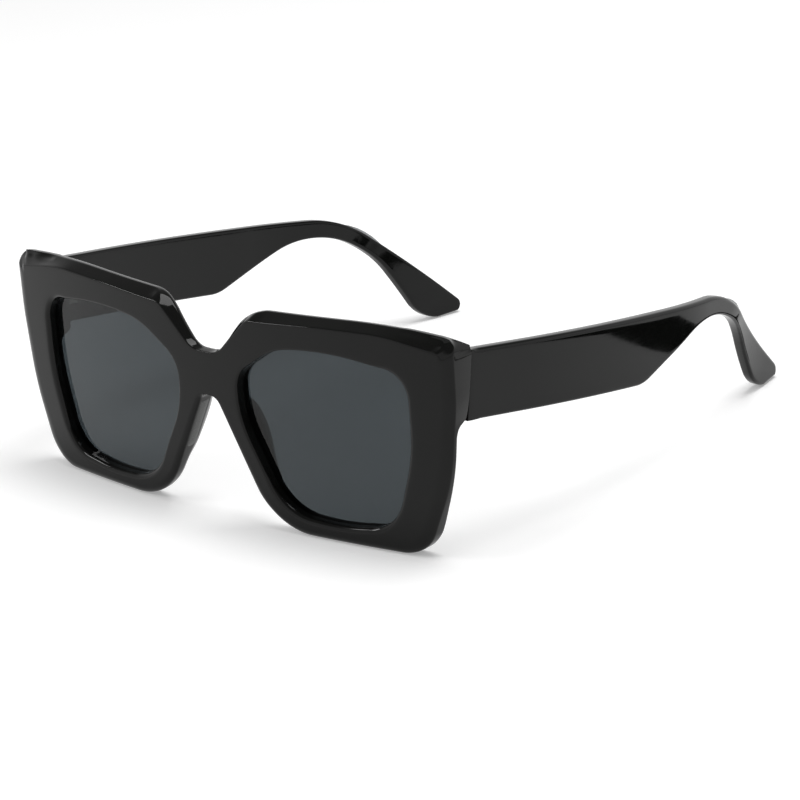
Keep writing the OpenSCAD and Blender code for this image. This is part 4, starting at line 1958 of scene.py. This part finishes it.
    def leaf_screw(self) -> Shell:
        """A slotted countersunk screw, head up at the origin.

        Returns:
            The shell in mm.
        """
        shell = Shell()
        r, shank, sink = 0.9, 0.45, 0.54
        shell.lathe([(0.01, -2.6), (shank, -2.6), (shank, -sink), (r * 0.8, -0.14), (0.01, -0.14)], 32)
        self.head(shell, r, 0.0, 0.12, 0.13)
        return shell


# Dressing and studio


def sheet(
    name: str,
    low: Sequence[float],
    high: Sequence[float],
    height: float,
    material: bpy.types.Material,
) -> bpy.types.Object:
    """Lays a flat sheet of the studio, in metres in the frame of the scene.

    Args:
        name: name of the sheet.
        low: its lowest corner (x, y).
        high: its highest corner (x, y).
        height: its height.
        material: its material.

    Returns:
        The sheet's object.
    """
    mesh = bpy.data.meshes.new(name)
    corners = ((low[0], low[1]), (high[0], low[1]), (high[0], high[1]), (low[0], high[1]))
    mesh.from_pydata([(x, y, height) for x, y in corners], [], [(0, 1, 2, 3)])
    mesh.materials.append(material)
    made = bpy.data.objects.new(name, mesh)
    bpy.context.scene.collection.objects.link(made)
    return made


def dress(made: bpy.types.Object, finish: object, slot: str, body: str, *nodes: str) -> bpy.types.Object:
    """Gives a piece its finish, its body and the solids that it stands for.

    Args:
        made: the piece.
        finish: the finish, made once and then shared.
        slot: not used; named for the material slot of the record.
        body: the body that the piece moves with.
        nodes: the solids that it replaces.

    Returns:
        The piece.
    """
    material = bpy.data.materials.get(finish.name) or finish.make()
    made.data.materials.clear()
    made.data.materials.append(material)
    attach(made, body)
    if nodes:
        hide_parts(*nodes)
    LOG.info("%s: %d faces, %s, on %s", made.name, len(made.data.polygons), finish.name, body)
    return made


def dress_cores() -> None:
    """Gives the wire cores, which stay as the solids are, their drawn steel."""
    material = DRAWN_STEEL.make()
    for side in Side:
        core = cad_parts[f"temple_core_{side.word}"]
        core.data.materials.clear()
        core.data.materials.append(material)
        LOG.info("%s: drawn steel", core.name)


@dataclass
class Softbox:
    """A rectangular lamp that faces a point."""

    name: str
    at: tuple[float, float, float]
    to: tuple[float, float, float]
    size: tuple[float, float]
    power: float

    def build(self) -> None:
        """Makes the lamp."""
        lamp = bpy.data.lights.new(self.name, "AREA")
        lamp.shape = "RECTANGLE"
        lamp.size, lamp.size_y = self.size
        lamp.energy = self.power
        made = bpy.data.objects.new(self.name, lamp)
        made.location = self.at
        made.rotation_euler = (Vector(self.to) - Vector(self.at)).to_track_quat("-Z", "Y").to_euler()
        bpy.context.scene.collection.objects.link(made)


@dataclass
class Studio:
    """A white table, white surroundings, soft lamps and the camera."""

    azimuth: float = 43.268
    elevation: float = 19.186
    roll: float = -4.340
    distance: float = 1055.534
    target: tuple[float, float, float] = (0.0, 70.156, 9.544)
    focal: float = 3986.208
    picture: float = 800.0
    sensor: float = 36.0
    clip: tuple[float, float] = (0.01, 50.0)
    floor_half: float = 4.0
    floor_drop: float = -0.00005
    card_rise: float = 0.0005
    card_low: tuple[float, float] = (66.0, 164.0)
    card_high: tuple[float, float] = (330.0, 197.0)
    floor_glow: float = 0.28
    world_light: float = 0.32
    wall_top: tuple[float, float] = (0.36, 0.62)
    ceiling_glow: float = 0.25

    def camera(self) -> None:
        """Makes the camera at the photograph's place."""
        a, e, r = (math.radians(v) for v in (self.azimuth, self.elevation, self.roll))
        back = Vector((math.sin(a) * math.cos(e), -math.cos(a) * math.cos(e), math.sin(e)))
        level = Vector((math.cos(a), math.sin(a), 0))
        above = back.cross(level)
        right = level * math.cos(r) + above * math.sin(r)
        up = above * math.cos(r) - level * math.sin(r)
        place = Vector(self.target) + back * self.distance - Vector((0, TEMPLE_END / 2, 0))
        data = bpy.data.cameras.new("camera")
        data.sensor_width = self.sensor
        data.lens = self.focal / self.picture * self.sensor
        data.clip_start, data.clip_end = self.clip
        made = bpy.data.objects.new("camera", data)
        made.matrix_world = Matrix.Translation(place * MM) @ Matrix((right, up, back)).transposed().to_4x4()
        bpy.context.scene.collection.objects.link(made)
        bpy.context.scene.camera = made

    def shown(self, tree: bpy.types.NodeTree) -> bpy.types.NodeSocket:
        """A value of 1 for what the camera, a gloss or a clear lens sees, and 0 for plain light.

        Args:
            tree: the tree to add to.

        Returns:
            The value.
        """
        path = node(tree, "ShaderNodeLightPath")
        gloss = node(
            tree,
            "ShaderNodeMath",
            {0: path.outputs["Is Camera Ray"], 1: path.outputs["Is Glossy Ray"]},
            operation="MAXIMUM",
        )
        through = node(
            tree,
            "ShaderNodeMath",
            {0: gloss.outputs[0], 1: path.outputs["Is Transmission Ray"]},
            operation="MAXIMUM",
        )
        return through.outputs[0]

    def floor(self) -> None:
        """Makes the table top, white to the camera and in gloss, which keeps the shadows."""
        material, tree = fresh("white_table_paint")
        paint = node(tree, "ShaderNodeBsdfDiffuse", Color=TABLE_WHITE)
        lift = node(tree, "ShaderNodeMath", {0: self.shown(tree)}, operation="MULTIPLY")
        lift.inputs[1].default_value = self.floor_glow
        glow = node(tree, "ShaderNodeEmission", {"Strength": lift.outputs[0]}, Color=WHITE)
        finished(tree, node(tree, "ShaderNodeAddShader", {0: paint.outputs[0], 1: glow.outputs[0]}))
        half = self.floor_half
        made = sheet("table_top", (-half, -half), (half, half), 0, material)
        made.location.z = self.floor_drop

    def card(self) -> None:
        """Lays a black card right of the view, for the dark patch that the left temple mirrors.

        Only reflections show the card.
        """
        material, tree = fresh("black_card_felt")
        finished(tree, node(tree, "ShaderNodeBsdfDiffuse", Color=FELT_BLACK))
        low, high = ((x * MM, (y - TEMPLE_END / 2) * MM) for x, y in (self.card_low, self.card_high))
        made = sheet("black_card", low, high, self.card_rise, material)
        made.visible_camera = made.visible_shadow = False
        made.visible_diffuse = made.visible_transmission = False

    def world(self) -> None:
        """Makes the surroundings: white to the camera, with a darker ceiling, and dimmer as light."""
        world = bpy.data.worlds.new("white_room")
        bpy.context.scene.world = world
        world.use_nodes = True
        tree = world.node_tree
        tree.nodes.clear()
        shown = self.shown(tree)
        light = node(tree, "ShaderNodeBackground", Color=WHITE, Strength=self.world_light)
        toward = node(tree, "ShaderNodeTexCoord").outputs["Generated"]
        height = node(tree, "ShaderNodeSeparateXYZ", {0: toward}).outputs["Z"]
        to = (1.0, self.ceiling_glow)
        level = ranged(tree, height, self.wall_top, to, interpolation_type="SMOOTHSTEP")
        seen = node(tree, "ShaderNodeBackground", {"Strength": level}, Color=WHITE)
        pick = node(tree, "ShaderNodeMixShader", {0: shown, 1: light.outputs[0], 2: seen.outputs[0]})
        node(tree, "ShaderNodeOutputWorld", {"Surface": pick.outputs[0]})

    def build(self) -> None:
        """Makes the camera, the table, the room and the lamps."""
        bpy.context.scene.view_settings.view_transform = "Standard"
        self.camera()
        self.floor()
        self.card()
        self.world()
        for lamp in (
            Softbox("key_softbox", (-0.58, -0.49, 0.5), (0, 0, 0.03), (0.3, 0.1), 1.4),
            Softbox("top_softbox", (0.15, 0.15, 1.05), (0, 0, 0.03), (0.7, 0.6), 8.0),
        ):
            lamp.build()


def main() -> None:
    """Builds the sunglasses and the studio."""
    Studio().build()
    front = Front()
    front.build()
    temple = Temple()
    for side in Side:
        front.lens(side)
        front.pad(side)
        temple.build(side)
        Hinge(side).build()
    dress_cores()


if __name__ == "__main__":
    main()
